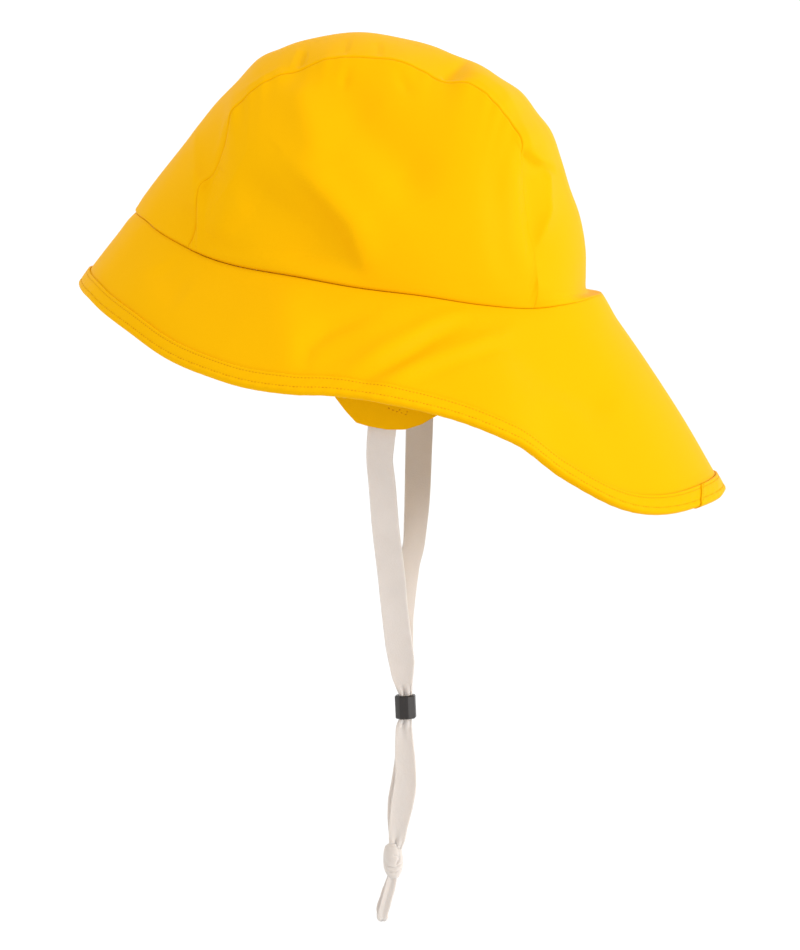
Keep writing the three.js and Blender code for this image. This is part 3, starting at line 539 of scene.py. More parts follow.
# Angle, and how far the brim's cloth ends short of that width, as a share of the head's
# length: the binding's fold takes up the rest.
BRIM_TRIM = (
    (0, 0.001), (20, 0.004), (30, 0.0055), (50, 0.0065), (60, 0.0075), (70, 0.003),
    (79, 0.0095), (85, 0.0195), (91, 0.0185), (97, 0.0125), (103, 0.0135), (110, 0.0175),
    (120, 0.0175), (130, 0.019), (140, 0.010), (150, 0.0065), (160, 0.003), (180, 0.003),
)


# %% The oval and its lines
def smooth_column(rows, column, angle):
    """Smooth value of one column at each angle, flat at both ends of the table."""
    at = np.array([row[0] for row in rows], float)
    value = np.array([row[column] for row in rows], float)
    slope = np.zeros_like(value)
    slope[1:-1] = (value[2:] - value[:-2]) / (at[2:] - at[:-2])
    row = np.clip(np.searchsorted(at, angle, side="right") - 1, 0, len(at) - 2)
    span = at[row + 1] - at[row]
    t = (angle - at[row]) / span
    leave = (t - 2 * t**2 + t**3) * span * slope[row]
    arrive = (t**3 - t**2) * span * slope[row + 1]
    return value[row] + (value[row + 1] - value[row]) * t * t * (3 - 2 * t) + leave + arrive


def folded_angle(angle):
    turned = np.mod(angle, 360)
    return np.where(turned > 180, 360 - turned, turned)


def seam_point(angle):
    a = np.radians(angle)
    rise = HEAD_LENGTH * smooth_column(SEAM_RISE, 1, folded_angle(angle))
    return np.stack(
        [HEAD_WIDTH / 2 * np.sin(a), -HEAD_LENGTH / 2 * np.cos(a), rise * np.ones_like(a)],
        axis=-1,
    )


def crown_line(table, first_angle, last_angle):
    """A line over the crown; its third column is half a width, and none means 0."""
    middle = [
        ((row[2] if len(row) > 2 else 0) * STRIP_WIDTH / 2, row[0] * HEAD_LENGTH,
         row[1] * CROWN_HEIGHT)
        for row in table
    ]
    return smooth_line([seam_point(first_angle), *middle, seam_point(last_angle)])


middle_at, _, middle_length = crown_line(MIDDLE_LINE, 0, 180)
arch_at, _, arch_length = crown_line(PANEL_SEAM, FRONT_CORNER, BACK_CORNER)
print("Middle line and panel seam, metres:", round(middle_length, 3), round(arch_length, 3))


# %% Surfaces of crown and brim
END_REACH = 0.2  # share of the strip's length that is drawn to the oval at either end
SOFT_REACH = 0.045  # share of the seam's length over which its bends are evened out
BEND_FADE = 0.1  # share of a side panel's height down which the seam's bends fade out
FOOT_SPREAD = 0.08  # how much wider apart the rows of a side panel stand near its middle
TIPS = 0.38, 0.43  # from the seam's middle, as shares: where a pointed end starts and is full


def strip_point(u, v):
    """Centre panel of the crown: u from front to back, v from -1 to 1 across."""
    middle, seam = middle_at(u), arch_at(u)
    share = (v * v)[:, None]
    point = middle * (1 - share) + seam * share
    point[:, 0] = v * seam[:, 0]
    for end in (0, 1):
        near = np.clip(1 - np.abs(u - end) / END_REACH, 0, None) ** 2
        ends = middle_at(np.array([end])), arch_at(np.array([end]))
        turn = np.degrees(np.arcsin(np.clip(2 * v * ends[1][0, 0] / HEAD_WIDTH, -1, 1)))
        on_oval = seam_point(turn if end == 0 else 180 - turn)
        plain = ends[0] * (1 - share) + ends[1] * share
        point[:, 1:] += (on_oval - plain)[:, 1:] * near[:, None]
    return point


def softened(line, reach):
    """The same line with its small bends evened out; reach is a share of its length."""
    places = np.linspace(0, 1, SAMPLES + 1)
    pad = int(4 * reach * SAMPLES)
    points = np.pad(line(places), ((pad, pad), (0, 0)), mode="reflect", reflect_type="odd")
    bell = np.exp(-0.5 * (np.arange(-pad, pad + 1) / (reach * SAMPLES)) ** 2)
    bell /= bell.sum()
    even = np.stack([np.convolve(column, bell, mode="valid") for column in points.T], axis=1)
    return lambda s: rows_at(s, places, even)


soft_arch_at = softened(arch_at, SOFT_REACH)


def foot_angle(s):
    """Angle of the oval below a place on the panel seam."""
    eased = s - FOOT_SPREAD * np.sin(2 * np.pi * s)
    return FRONT_CORNER + (BACK_CORNER - FRONT_CORNER) * eased


def near_tip(s):
    """How close a place on the panel seam is to the side panel's pointed ends."""
    return smoothstep(np.abs(s - 0.5), *TIPS)


def side_point(s, t, side):
    """Side panel: s from front to back, t from the panel seam (0) to the oval (1)."""
    # The seam's small bends fade out down the panel, but not at its pointed ends.
    soft = soft_arch_at(s)
    fade = BEND_FADE + (1 - BEND_FADE) * near_tip(s)
    top = soft + (arch_at(s) - soft) * np.exp(-t / fade)[:, None]
    foot = seam_point(foot_angle(s))
    towards_tips = 1 - (2 * s - 1) ** 4
    height = np.linalg.norm(foot - top, axis=1)
    point = top + (foot - top) * t[:, None]
    point[:, 0] = side * (point[:, 0] + 4 * t * (1 - t) * PANEL_FULLNESS * towards_tips * height)
    return point


def brim_width(angle):
    front, side, back = (smooth_column(BRIM_SECTIONS, k, folded_angle(angle)) for k in (1, 2, 3))
    trim = HEAD_LENGTH * smooth_column(BRIM_TRIM, 1, folded_angle(angle))
    return front * BRIM_FRONT + side * BRIM_SIDE + back * BRIM_BACK - trim


def brim_point(angle, r):
    """Brim: r runs down the slope from the oval (0) to the edge (1)."""
    a = np.radians(angle)
    slope = np.radians(smooth_column(BRIM_SECTIONS, 4, folded_angle(angle)))
    flat = np.zeros_like(a)
    outward = unit(np.stack([np.sin(a) / HEAD_WIDTH, -np.cos(a) / HEAD_LENGTH, flat], axis=-1))
    up = np.array((0, 0, 1))
    down = outward * np.cos(slope)[:, None] - up * np.sin(slope)[:, None]
    facing = outward * np.sin(slope)[:, None] + up * np.cos(slope)[:, None]
    run = (brim_width(angle) * r)[:, None]
    bow = (BRIM_BOW * 4 * r * (1 - r))[:, None]
    return seam_point(angle) + down * run + facing * bow


# %% Normals of the surfaces
NEIGHBOUR = 0.004  # step to a close neighbour, as a share of the piece
BELOW_CROWN = np.array((0, 0, -60)) * MM
BELOW_BRIM = np.array((0, 0, -2)) * BRIM_BACK


def surface_normal(point, a, b, spans, inside, steps=(NEIGHBOUR, NEIGHBOUR)):
    """Normal of point(a, b), from close neighbours kept within the surface's spans."""
    (a_low, a_high), (b_low, b_high) = spans
    a = np.clip(a, a_low + steps[0], a_high - steps[0])
    b = np.clip(b, b_low + steps[1], b_high - steps[1])
    along = point(a + steps[0], b) - point(a - steps[0], b)
    across = point(a, b + steps[1]) - point(a, b - steps[1])
    normal = unit(np.cross(along, across))
    outward = np.sign(np.sum(normal * (point(a, b) - inside), axis=1))
    return normal * outward[:, None]


def strip_normal(u, v):
    return surface_normal(strip_point, u, v, ((0, 1), (-1, 1)), BELOW_CROWN)


def side_normal(s, t, side):
    def point(a, b):
        return side_point(a, b, side)

    # At the panel's tips the seam's small bends would tilt the cloth.
    t = np.maximum(t, 0.5 * near_tip(s))
    return surface_normal(point, s, t, ((0, 1), (0, 1)), BELOW_CROWN)


def brim_normal(angle, r):
    any_angle = -1000, 1000
    steps = 1, NEIGHBOUR
    return surface_normal(brim_point, angle, r, (any_angle, (0, 1)), BELOW_BRIM, steps)


def place_above(angle):
    """Place on the panel seam whose foot is at an angle of the oval."""
    places = np.linspace(0, 1, 400)
    return np.interp(angle, foot_angle(places), places)


def arch_meeting(s, side):
    """Direction that both panels share at the seam between them."""
    edge = np.full_like(s, side)
    return unit(strip_normal(s, edge) + side_normal(s, np.zeros_like(s), side))


def oval_meeting(angle, blur=3):
    """Direction that crown and brim share at the oval; blur is in degrees at the corners."""
    turned = folded_angle(angle)
    side = np.where(np.mod(angle, 360) > 180, -1.0, 1.0)
    end = np.where(turned < 90, 0.0, 1.0)
    corner = np.where(turned < 90, FRONT_CORNER, BACK_CORNER)
    v = np.clip(np.sin(np.radians(turned)) / np.sin(np.radians(corner)), 0, 1) * side
    strip = strip_normal(end, v)
    low = np.ones_like(turned)
    sides = np.stack([side_normal(place_above(turned), low, k) for k in (-1, 1)])
    panel = np.where(side[:, None] < 0, sides[0], sides[1])
    past_front = smoothstep(turned, FRONT_CORNER - blur, FRONT_CORNER + blur)
    before_back = smoothstep(-turned, -BACK_CORNER - blur, -BACK_CORNER + blur)
    in_panel = (past_front * before_back)[:, None]
    crown = unit(strip * (1 - in_panel) + panel * in_panel)
    return unit(crown + brim_normal(angle, np.zeros_like(turned)))


# %% [markdown]
# ## Folds of the cloth
# Coated cloth is stiff, so it dents and creases in long soft lines. Sculpting them by hand
# would be natural, and a cloth simulation could find some, but neither lands where the
# real ones are. So each fold is a row in a table: a line seen from the side, its width and
# depth, how far it leans to one side, and how crisp its ridge is.

# %% Folds
# side is 1 for the hat's left and -1 for its right. A route is a line of (share of the
# head's length behind the middle, share of the crown's height). Width and depth are shares
# of the head's length, and a dent has a negative depth.
Fold = namedtuple("Fold", "side route width depth lean crisp")
FOLD_FADE = 12 * MM  # a fold fades out this close to the hat's middle or to the oval
CROWN_FOLDS = (
    Fold(1, ((-0.27, 0.36), (-0.19, 0.25), (-0.11, 0.14), (-0.015, -0.06)), 0.1, -0.024, -0.25, 0),
    Fold(1, ((-0.15, 0.45), (-0.065, 0.28), (-0.015, 0.16), (0.025, -0.06)), 0.042, 0.012, 0.3, 0),
    Fold(1, ((-0.06, 0.83), (0.002, 0.6), (0.087, 0.422), (0.13, 0.25)), 0.075, -0.015, 0, 0),
    Fold(1, ((-0.151, 0.812), (-0.113, 0.616), (-0.08, 0.418)), 0.05, 0.008, 0, 0),
    Fold(1, ((0.075, 0.86), (0.081, 0.813), (0.1, 0.73)), 0.018, -0.004, 0, 0),
    Fold(1, ((-0.03, 0.86), (-0.034, 0.82), (-0.04, 0.77)), 0.015, -0.003, 0, 0),
    Fold(1, ((-0.31, 0.1), (-0.28, 0.2), (-0.23, 0.26)), 0.04, 0.005, 0, 0),
    Fold(-1, ((-0.2, 0.55), (-0.06, 0.33), (0.06, 0.0)), 0.07, -0.015, 0.2, 0),
    Fold(-1, ((-0.07, 0.5), (0.02, 0.27), (0.09, -0.05)), 0.035, 0.008, 0.3, 0),
    Fold(-1, ((0.02, 0.75), (0.1, 0.45), (0.16, 0.1)), 0.06, 0.01, 0, 0),
    Fold(-1, ((0.16, 0.65), (0.22, 0.35), (0.24, 0.0)), 0.05, -0.009, 0, 0),
)
STRIP_FOLDS = (
    Fold(1, ((-0.131, 0.838), (-0.129, 0.879), (-0.126, 0.92)), 0.015, -0.0065, 0.5, 0.4),
    Fold(1, ((-0.152, 0.83), (-0.145, 0.888), (-0.138, 0.93)), 0.014, 0.004, 0, 0),
    Fold(1, ((-0.036, 0.89), (-0.038, 0.93), (-0.037, 0.975)), 0.011, -0.0035, 0.4, 0.5),
    Fold(1, ((0.034, 0.89), (0.031, 0.93), (0.026, 0.965)), 0.011, -0.003, 0.4, 0.5),
    Fold(1, ((0.16, 0.78), (0.178, 0.818), (0.196, 0.85), (0.215, 0.875)), 0.02, -0.009, -0.3, 0.4),
    Fold(1, ((0.206, 0.832), (0.251, 0.788), (0.291, 0.729), (0.318, 0.65)), 0.02, 0.0055, 0, 0.3),
    Fold(1, ((0.135, 0.923), (0.201, 0.864), (0.265, 0.78), (0.34, 0.66)), 0.03, 0.0035, 0, 0.2),
    Fold(1, ((0.34, 0.66), (0.375, 0.52), (0.414, 0.291)), 0.03, 0.004, 0, 0.2),
    Fold(1, ((-0.279, 0.621), (-0.29, 0.499), (-0.306, 0.399)), 0.016, 0.005, 0, 0.3),
    Fold(1, ((-0.361, 0.568), (-0.354, 0.451), (-0.349, 0.321)), 0.02, 0.004, 0, 0.3),
    Fold(1, ((-0.265, 0.727), (-0.212, 0.799), (-0.167, 0.862)), 0.011, 0.0025, 0, 0.3),
    Fold(-1, ((-0.09, 0.86), (-0.088, 0.91), (-0.085, 0.96)), 0.018, -0.007, 0.4, 0.4),
    Fold(-1, ((0.1, 0.84), (0.115, 0.88), (0.13, 0.93)), 0.02, -0.006, 0, 0.3),
    Fold(-1, ((0.22, 0.82), (0.29, 0.71), (0.335, 0.55), (0.36, 0.4)), 0.028, 0.006, 0, 0.3),
    Fold(-1, ((-0.35, 0.58), (-0.352, 0.45), (-0.348, 0.3)), 0.02, 0.004, 0, 0.3),
)
BACK_FOLDS = (
    Fold(1, ((0.31, 0.46), (0.32, 0.26), (0.33, 0.06), (0.345, -0.1)), 0.03, 0.0055, -0.2, 0),
    Fold(1, ((0.278, 0.484), (0.29, 0.18), (0.3, -0.09)), 0.04, -0.004, 0, 0),
    Fold(1, ((0.322, 0.63), (0.345, 0.53), (0.352, 0.47)), 0.018, 0.005, 0.3, 0.3),
    Fold(1, ((0.352, 0.47), (0.383, 0.38), (0.386, 0.2), (0.364, 0.03)), 0.022, 0.012, 0.3, 0.8),
    Fold(1, ((0.335, 0.485), (0.362, 0.42), (0.395, 0.375)), 0.015, -0.013, -0.4, 0.8),
    Fold(1, ((0.345, 0.4), (0.355, 0.3), (0.357, 0.15), (0.36, 0.02)), 0.02, -0.006, 0, 0),
    Fold(-1, ((0.305, 0.45), (0.32, 0.2), (0.335, -0.05)), 0.032, 0.006, -0.3, 0),
    Fold(-1, ((0.36, 0.42), (0.385, 0.25), (0.38, 0.05)), 0.03, 0.007, 0.2, 0.3),
)
BRIM_FOLDS = (
    Fold(1, ((-0.15, -0.08), (-0.128, -0.296), (-0.1, -0.46)), 0.07, 0.006, 0, 0),
    Fold(
        1, ((-0.103, -0.448), (-0.091, -0.355), (-0.051, -0.283), (0.03, -0.22)),
        0.03, -0.006, 0.2, 0,
    ),
    Fold(1, ((-0.018, -0.468), (0.071, -0.357), (0.15, -0.279), (0.24, -0.23)), 0.03, 0.007, 0, 0),
    Fold(1, ((0.006, -0.51), (0.095, -0.409), (0.161, -0.319), (0.225, -0.265)), 0.024, -0.009, 0, 0),
    Fold(1, ((0.038, -0.523), (0.133, -0.443), (0.244, -0.367), (0.323, -0.322)), 0.03, 0.008, 0, 0),
    Fold(1, ((0.1, -0.5), (0.225, -0.41), (0.312, -0.362)), 0.022, -0.006, 0, 0),
    Fold(1, ((0.3, -0.33), (0.394, -0.509), (0.477, -0.608), (0.53, -0.7)), 0.055, -0.009, 0.2, 0),
    Fold(1, ((-0.42, -0.02), (-0.4, -0.1), (-0.36, -0.16)), 0.05, -0.004, 0, 0),
    Fold(-1, ((-0.02, -0.48), (0.12, -0.33), (0.24, -0.22)), 0.045, 0.009, 0, 0),
    Fold(-1, ((0.02, -0.5), (0.13, -0.37), (0.24, -0.27)), 0.028, -0.007, 0, 0),
    Fold(-1, ((0.1, -0.5), (0.2, -0.4), (0.3, -0.3)), 0.035, 0.006, 0, 0),
    Fold(-1, ((0.3, -0.4), (0.44, -0.62), (0.56, -0.78)), 0.07, -0.01, 0, 0),
)


def fold_height(folds, points):
    """Height of all folds of a table at each point."""
    spots = points[:, 1:]
    height = np.zeros(len(points))
    for fold in folds:
        knots = np.array(fold.route) * (HEAD_LENGTH, CROWN_HEIGHT)
        nearest, place, lies = nearest_on(knots, spots)
        across = nearest / (fold.width * HEAD_LENGTH * (1 + fold.lean * lies))
        form = (1 - fold.crisp) * np.exp(-2 * across**2) + fold.crisp * np.exp(-2 * across)
        # A fold starts and ends at a quarter of its height.
        taper = np.minimum(1, 0.25 + 4 * place * (1 - place))
        on_side = smoothstep(fold.side * points[:, 0], 0, FOLD_FADE)
        height += on_side * fold.depth * HEAD_LENGTH * taper * form
    return height


# %% Small unevenness of the cloth
def waves(seed, count, shortest, longest):
    """Random directions, lengths and starts of soft waves, the same on each run."""
    draw = np.random.default_rng(seed)
    ways = unit(draw.normal(size=(count, 3)))
    lengths = draw.uniform(shortest, longest, count)
    return ways * (2 * np.pi / lengths)[:, None], draw.uniform(0, 2 * np.pi, count)


CLOTH_WAVES = waves(7, 9, 35 * MM, 80 * MM)
WAVE_HEIGHT = 0.35 * MM


def unevenness(points):
    ways, starts = CLOTH_WAVES
    return WAVE_HEIGHT * np.sin(points @ ways.T + starts).sum(axis=1) / np.sqrt(len(starts))


# %% [markdown]
# ## The crown's panels
# Each panel is cut from flat cloth and sewn to its neighbour from inside, so both edges
# roll inwards and leave a fine groove, and the thread pulls small puckers into the cloth
# beside it. A bump map could fake the groove, but a real rolled edge catches the light
# from every side. The rows of the grid are set closer together near the seams for it. The
# outer rows are turned in, as a seam's allowance is, so no light comes through, and the
# cloth is pressed thin there, so its back doesn't come through either.

# %% Rolled edges
ROLL = 1.1 * MM
LAP_ROLL = 1.15 * MM  # the same at the oval, where the crown's edge laps over the brim
LAP_PUFF = 0.5 * MM  # how far the cloth stands out above the lapped edge
PUFF_REACH = 5 * MM
BLEND = 5 * MM  # reach of a seam's shared direction into both pieces
WAVE_FADE = 8 * MM  # the cloth gets even this close to the oval
TURN_SHARE = 0.04  # of a piece's rows, at an edge that is turned in and sewn
TURN_DEPTH = 3.5 * MM
TIP_HEIGHT = 12 * MM  # of a side panel, below which less cloth is turned in
PRESSED = 0.12  # share of the cloth's thickness that is left at a sewn edge
PUCKER_HEIGHT = 0.22 * MM
PUCKER_PITCH = 9.5 * MM


def seam_pull(s):
    """How hard the panel seam is drawn in along it; it lies loose down the back."""
    front = 0.65 + 0.35 * smoothstep(s, 0.12, 0.22)
    return front - 0.95 * smoothstep(s, 0.73, 0.79) + 0.3 * smoothstep(s, 0.96, 0.98)


def lap_pull(angle):
    """How hard the crown's lower edge is drawn in at an angle: less and less to the back."""
    return 1 - 0.72 * smoothstep(folded_angle(angle), 70, 150)


def arch_puckers(s, distance):
    """Ripples along the panel seam, the same in both panels, that die out away from it."""
    run = s * arch_length / PUCKER_PITCH
    ripple = np.sin(2 * np.pi * run + 1.3 * np.sin(2 * np.pi * run / 4.3))
    swell = 0.55 + 0.45 * np.sin(2 * np.pi * run / 9.7 + 1)
    fade = np.exp(-distance / (0.8 * PUCKER_PITCH))
    return PUCKER_HEIGHT * (0.25 + 0.75 * seam_pull(s)) * ripple * swell * fade


def rolled(distance, radius):
    """Drop of an edge that is rolled inwards, at a distance from its seam."""
    flat = np.clip(radius - distance, 0, radius)
    return -(radius - np.sqrt(radius**2 - flat**2))


def turned_in(share, start=True, end=True):
    """Splits a measure across a piece into its visible cloth and what is turned in."""
    low, high = (TURN_SHARE if start else 0), (TURN_SHARE if end else 0)
    visible = np.clip((share - low) / (1 - low - high), 0, 1)
    turned = np.clip(low - share, 0, None) + np.clip(share - 1 + high, 0, None)
    return visible, turned / TURN_SHARE * TURN_DEPTH


def sewn_all_round(p, q):
    """Fullness of a piece whose four edges are turned in; a sewn edge is pressed flat."""
    from_edge = np.minimum(np.minimum(p, 1 - p), np.minimum(q, 1 - q))
    return sewn_on_top(p, from_edge)


def sewn_on_top(p, q):
    """Fullness of a piece that is sewn along the first edge across."""
    return PRESSED + (1 - PRESSED) * smoothstep(q, TURN_SHARE, 3 * TURN_SHARE)


def seam_clearance(*shares):
    """What is left of a fold close to a panel's seams."""
    left = 1
    for share in shares:
        left = left * smoothstep(share, 0, 0.12)
    return left


def blend_normals(own, others):
    """Turns a surface's own normals to the seams' near them: others is (normal, distance)."""
    for normal, distance in others:
        near = 1 - smoothstep(distance, 0, BLEND)
        own = own * (1 - near)[:, None] + normal * near[:, None]
    return unit(own)


def panel_height(at, s, angle, to_arch, to_oval):
    """Height of what all panels share: the back's folds, unevenness and the sewn edges."""
    lap = lap_pull(angle)
    height = fold_height(BACK_FOLDS, at) * smoothstep(to_oval, 0, FOLD_FADE)
    height += unevenness(at) * smoothstep(to_oval, 0, WAVE_FADE)
    height += arch_puckers(s, to_arch)
    height += LAP_PUFF * lap * np.exp(-((to_oval / PUFF_REACH) ** 2))
    edges = rolled(to_arch, ROLL) * seam_pull(s), rolled(to_oval, LAP_ROLL) * lap
    return height + np.minimum(*edges)


# %% Side panels
def side_cloth(side):
    def place(p, q):
        across, turn = turned_in(q)
        s, t = p, (1 - np.cos(np.pi * across)) / 2
        at = side_point(s, t, side)
        angle = foot_angle(s)
        drop = seam_point(angle) - arch_at(s)
        line = np.linalg.norm(drop, axis=1)
        # Measured square to the panel seam, which runs slantwise to the rows at the tips.
        before, after = np.clip(s - NEIGHBOUR, 0, 1), np.clip(s + NEIGHBOUR, 0, 1)
        along = unit(arch_at(after) - arch_at(before))
        square = np.linalg.norm(np.cross(along, drop), axis=1)
        to_arch, to_oval = t * square, (1 - t) * line
        turn = turn * smoothstep(line, 0, TIP_HEIGHT)
        meets = (arch_meeting(s, side), to_arch), (oval_meeting(side * angle), to_oval)
        facing = blend_normals(side_normal(s, t, side), meets)
        height = fold_height(CROWN_FOLDS, at) * seam_clearance(t, 1 - t, s, 1 - s)
        height += panel_height(at, s, angle, to_arch, to_oval) - turn
        return at + facing * height[:, None], np.stack([s * arch_length, t * line + turn], axis=1)

    bm = moved_grid(300, 110, place, sewn_all_round)
    node = f"crown_side_{side_word(side)}"
    piece = lined_piece(f"{node}_cloth", node, bm, "yellow_cloth", PANEL_CLOTH, BELOW_CROWN)
    thin_sewn_edges(piece)
    return piece


crown_sides = [side_cloth(side) for side in (1, -1)]


# %% Centre panel
def strip_cloth():
    def place(p, q):
        along, turn_end = turned_in(p)
        across, turn_side = turned_in(q)
        u = 0.4 * along + 0.3 * (1 - np.cos(np.pi * along))
        v = -np.cos(np.pi * across)
        at = strip_point(u, v)
        half = np.abs(arch_at(u)[:, 0])
        to_arch = (1 - np.abs(v)) * half
        length = middle_length + (arch_length - middle_length) * v * v
        from_end = np.minimum(u, 1 - u)
        to_oval = from_end * length
        arches = np.where((v < 0)[:, None], arch_meeting(u, -1), arch_meeting(u, 1))
        ends = arch_at(np.array([0.0, 1.0]))[:, 0]
        end_x = np.where(u < 0.5, ends[0], ends[1])
        turn = np.degrees(np.arcsin(np.clip(2 * v * end_x / HEAD_WIDTH, -1, 1)))
        angle = np.where(u < 0.5, turn, 180 - turn)
        ovals = oval_meeting(angle)
        facing = blend_normals(strip_normal(u, v), ((arches, to_arch), (ovals, to_oval)))
        clear = smoothstep(to_arch, 0, BLEND) * smoothstep(to_oval, 0, WAVE_FADE)
        height = fold_height(STRIP_FOLDS, at) * clear
        height += panel_height(at, u, angle, to_arch, to_oval)
        height -= np.maximum(turn_end, turn_side)
        return at + facing * height[:, None], np.stack([u * middle_length, v * half], axis=1)

    bm = moved_grid(330, 84, place, sewn_all_round)
    names = "crown_centre_cloth", "crown_centre_panel"
    piece = lined_piece(*names, bm, "yellow_cloth", PANEL_CLOTH, BELOW_CROWN)
    thin_sewn_edges(piece)
    return piece


crown_centre = strip_cloth()


# %% [markdown]
# ## The brim
# The brim runs all round in one piece, narrow in front and deep behind to carry rain off
# the neck. It could be a flat ring that a simulation lets droop, but its slope at each
# angle is known, so it is a grid bent into a ring whose two ends are merged. Its top edge
# is turned in under the crown's rolled edge, and long soft folds run from there outwards.

# %% Brim
BRIM_UNDER = 1.2 * MM  # how far the brim lies below the crown's edge
UNDER_FADE = 15 * MM  # it comes up to the seam over this distance


def folded_brim(angle, r):
    """The brim's surface with its folds, and its normal there."""
    at = brim_point(angle, r)
    normal = brim_normal(angle, r)
    near_seam = smoothstep(-r * brim_width(angle), -UNDER_FADE, 0)
    height = fold_height(BRIM_FOLDS, at) * smoothstep(r, 0, 0.12)
    height -= BRIM_UNDER * (1 - near_seam * (1 - 0.5 * lap_pull(angle)))
    height += unevenness(at) * smoothstep(r, 0, 0.2)
    return at + normal * height[:, None], normal


def brim_cloth():
    def place(p, q):
        down, turn = turned_in(q, end=False)
        angle, r = 360 * p, down * (0.3 + 0.7 * down)
        at, normal = folded_brim(angle, r)
        to_seam = r * brim_width(angle)
        facing = blend_normals(normal, [(oval_meeting(angle), to_seam)])
        around = 2 * np.pi * p * (HEAD_LENGTH + HEAD_WIDTH) / 4
        maps = np.stack([around * (1 + 0.5 * r), to_seam], axis=1)
        return at - facing * turn[:, None], maps

    bm = moved_grid(520, 80, place, sewn_on_top)
    merge_ends(bm)
    piece = lined_piece("brim_cloth", "brim", bm, "yellow_cloth", BRIM_WALL, BELOW_BRIM)
    thin_sewn_edges(piece)
    return piece


brim = brim_cloth()


# %% [markdown]
# ## The binding
# A strip of the same cloth is folded over the brim's edge and sewn through with two rows.
# Its section is a narrow U: the upper lip, two shallow valleys where the thread pulls it
# down, the round fold over the edge, and the same below. The strip's end lies over its
# start near the centre back, which shows as a step.

# %% Section of the binding
BINDING_WIDTH = 8 * MM
BINDING_CLOTH = 0.5 * MM
BINDING_LIFT = 1.15 * MM  # of its outer face above the brim's cloth
JOIN_ANGLE = 165
JOIN_SLANT = -3.6  # degrees from the strip's inner edge to its fold
JOIN_OVERLAP = 9  # degrees of the brim's edge
ROW_SHARES = (0.22, 0.8)  # of the binding's width, where the two rows of stitches run
ROW_DIP = 0.2 * MM  # how deep the thread pulls each row
ROW_DIP_WIDTH = 0.07  # of the binding's width
LIP = 0.42  # of the section's length, above the brim, and the same below it
BEND = 1 - 2 * LIP  # the rest, round the edge
EDGE_ROUNDING = 0.09  # of the binding's width, at its inner edges
BEND_REACH = 1.2 * MM  # of the fold beyond the brim's edge
STEP_LIFT = 0.52 * MM  # of the strip's end over its start
STEP_FADE = 5  # degrees
RIPPLE_HEIGHT = 0.1 * MM
RIPPLE_PITCH = 7 * MM
EDGE_RADIUS = 150 * MM  # of the brim's edge, roughly, to measure along it
SECTION_LENGTH = 2.6 * BINDING_WIDTH


def row_dip(share):
    """How far the thread of the two rows pulls the binding down, from 0 to 1."""
    return sum(np.exp(-(((share - row) / ROW_DIP_WIDTH) ** 2)) for row in ROW_SHARES)


def bend_angle(q):
    """Angle round the fold over the edge, from 0 on top to pi below."""
    return np.clip((q - LIP) / BEND, 0, 1) * np.pi


def binding_section(q):
    """For q from 0 to 1 round the section: share down the width, lift and reach out."""
    upper = q < LIP
    lower = q > 1 - LIP
    bend = bend_angle(q)
    share = np.where(upper, q / LIP, np.where(lower, (1 - q) / LIP, 1))
    rounding = np.sqrt(np.clip(1 - (1 - share / EDGE_ROUNDING).clip(0, 1) ** 2, 0, 1))
    height = BINDING_LIFT * (0.25 + 0.75 * rounding) - ROW_DIP * row_dip(share)
    half = BINDING_LIFT + BRIM_WALL / 2
    lift = np.where(upper, height, np.where(lower, -BRIM_WALL - height, 0))
    turning = ~(upper | lower)
    lift = np.where(turning, -BRIM_WALL / 2 + half * np.cos(bend), lift)
    reach = np.where(turning, BEND_REACH * np.sin(bend), 0)
    return share, lift, reach


def binding_frame(angle, share):
    """The brim's folded surface under the binding, with its normal and way out."""
    start = 1 - BINDING_WIDTH / brim_width(angle)
    top, _ = folded_brim(angle, start)
    edge, normal = folded_brim(angle, np.ones_like(angle))
    outward = unit(edge - top)
    at = top + (edge - top) * share[:, None]
    return at, normal, outward


def extra_lift(run):
    """Lift of the strip where it lies over its own start; run counts degrees from it."""
    return STEP_LIFT * (1 - smoothstep(run, JOIN_OVERLAP, JOIN_OVERLAP + STEP_FADE))


# %% Binding
def edge_binding():
    sweep = 360 + JOIN_OVERLAP

    def place(p, q):
        run = sweep * p
        share, lift, reach = binding_section(q)
        angle = JOIN_ANGLE + run + JOIN_SLANT * share
        at, normal, outward = binding_frame(angle, share)
        over = extra_lift(run)
        away = np.where(q < 0.5, 1, -1) * np.abs(np.cos(bend_angle(q)))
        around = np.radians(run) * EDGE_RADIUS
        ripple = RIPPLE_HEIGHT * np.sin(2 * np.pi * around / RIPPLE_PITCH)
        ripple = ripple * (1 - np.abs(2 * q - 1))
        high = lift + over * away + ripple * away
        out = reach + over * np.where(reach > 0, 1, 0)
        points = at + normal * high[:, None] + outward * out[:, None]
        return points, np.stack([around, q * SECTION_LENGTH], axis=1)

    bm = moved_grid(1100, 40, place)
    out = 0
    for face in bm.faces:
        middle = face.calc_center_median()
        out += face.normal.dot(Vector((middle.x, middle.y, 0)))
    if out < 0:
        bmesh.ops.reverse_faces(bm, faces=bm.faces)
    piece = finish_piece("edge_binding_cloth", bm, ["edge_binding"])
    give_wall(piece, BINDING_CLOTH)
    return piece


binding = edge_binding()


# %% [markdown]
# ## Stitches
# The two rows are lockstitch in yellow thread, about 1.6 mm to a stitch, seen on both
# sides of the binding. Each stitch is one small rounded grain. Instances would be light,
# but joined copies export as a plain mesh, so a low sphere is drawn out for each stitch.

# %% Rows of stitches
STITCH_PITCH = 1.6 * MM
STITCH_SIZE = Vector((1.0, 0.46, 0.34)) * MM
STITCH_LIFT = 0.02 * MM  # of its middle above the cloth
CLOSING_ROW = 0.7  # degrees of the brim's edge from the strip's end


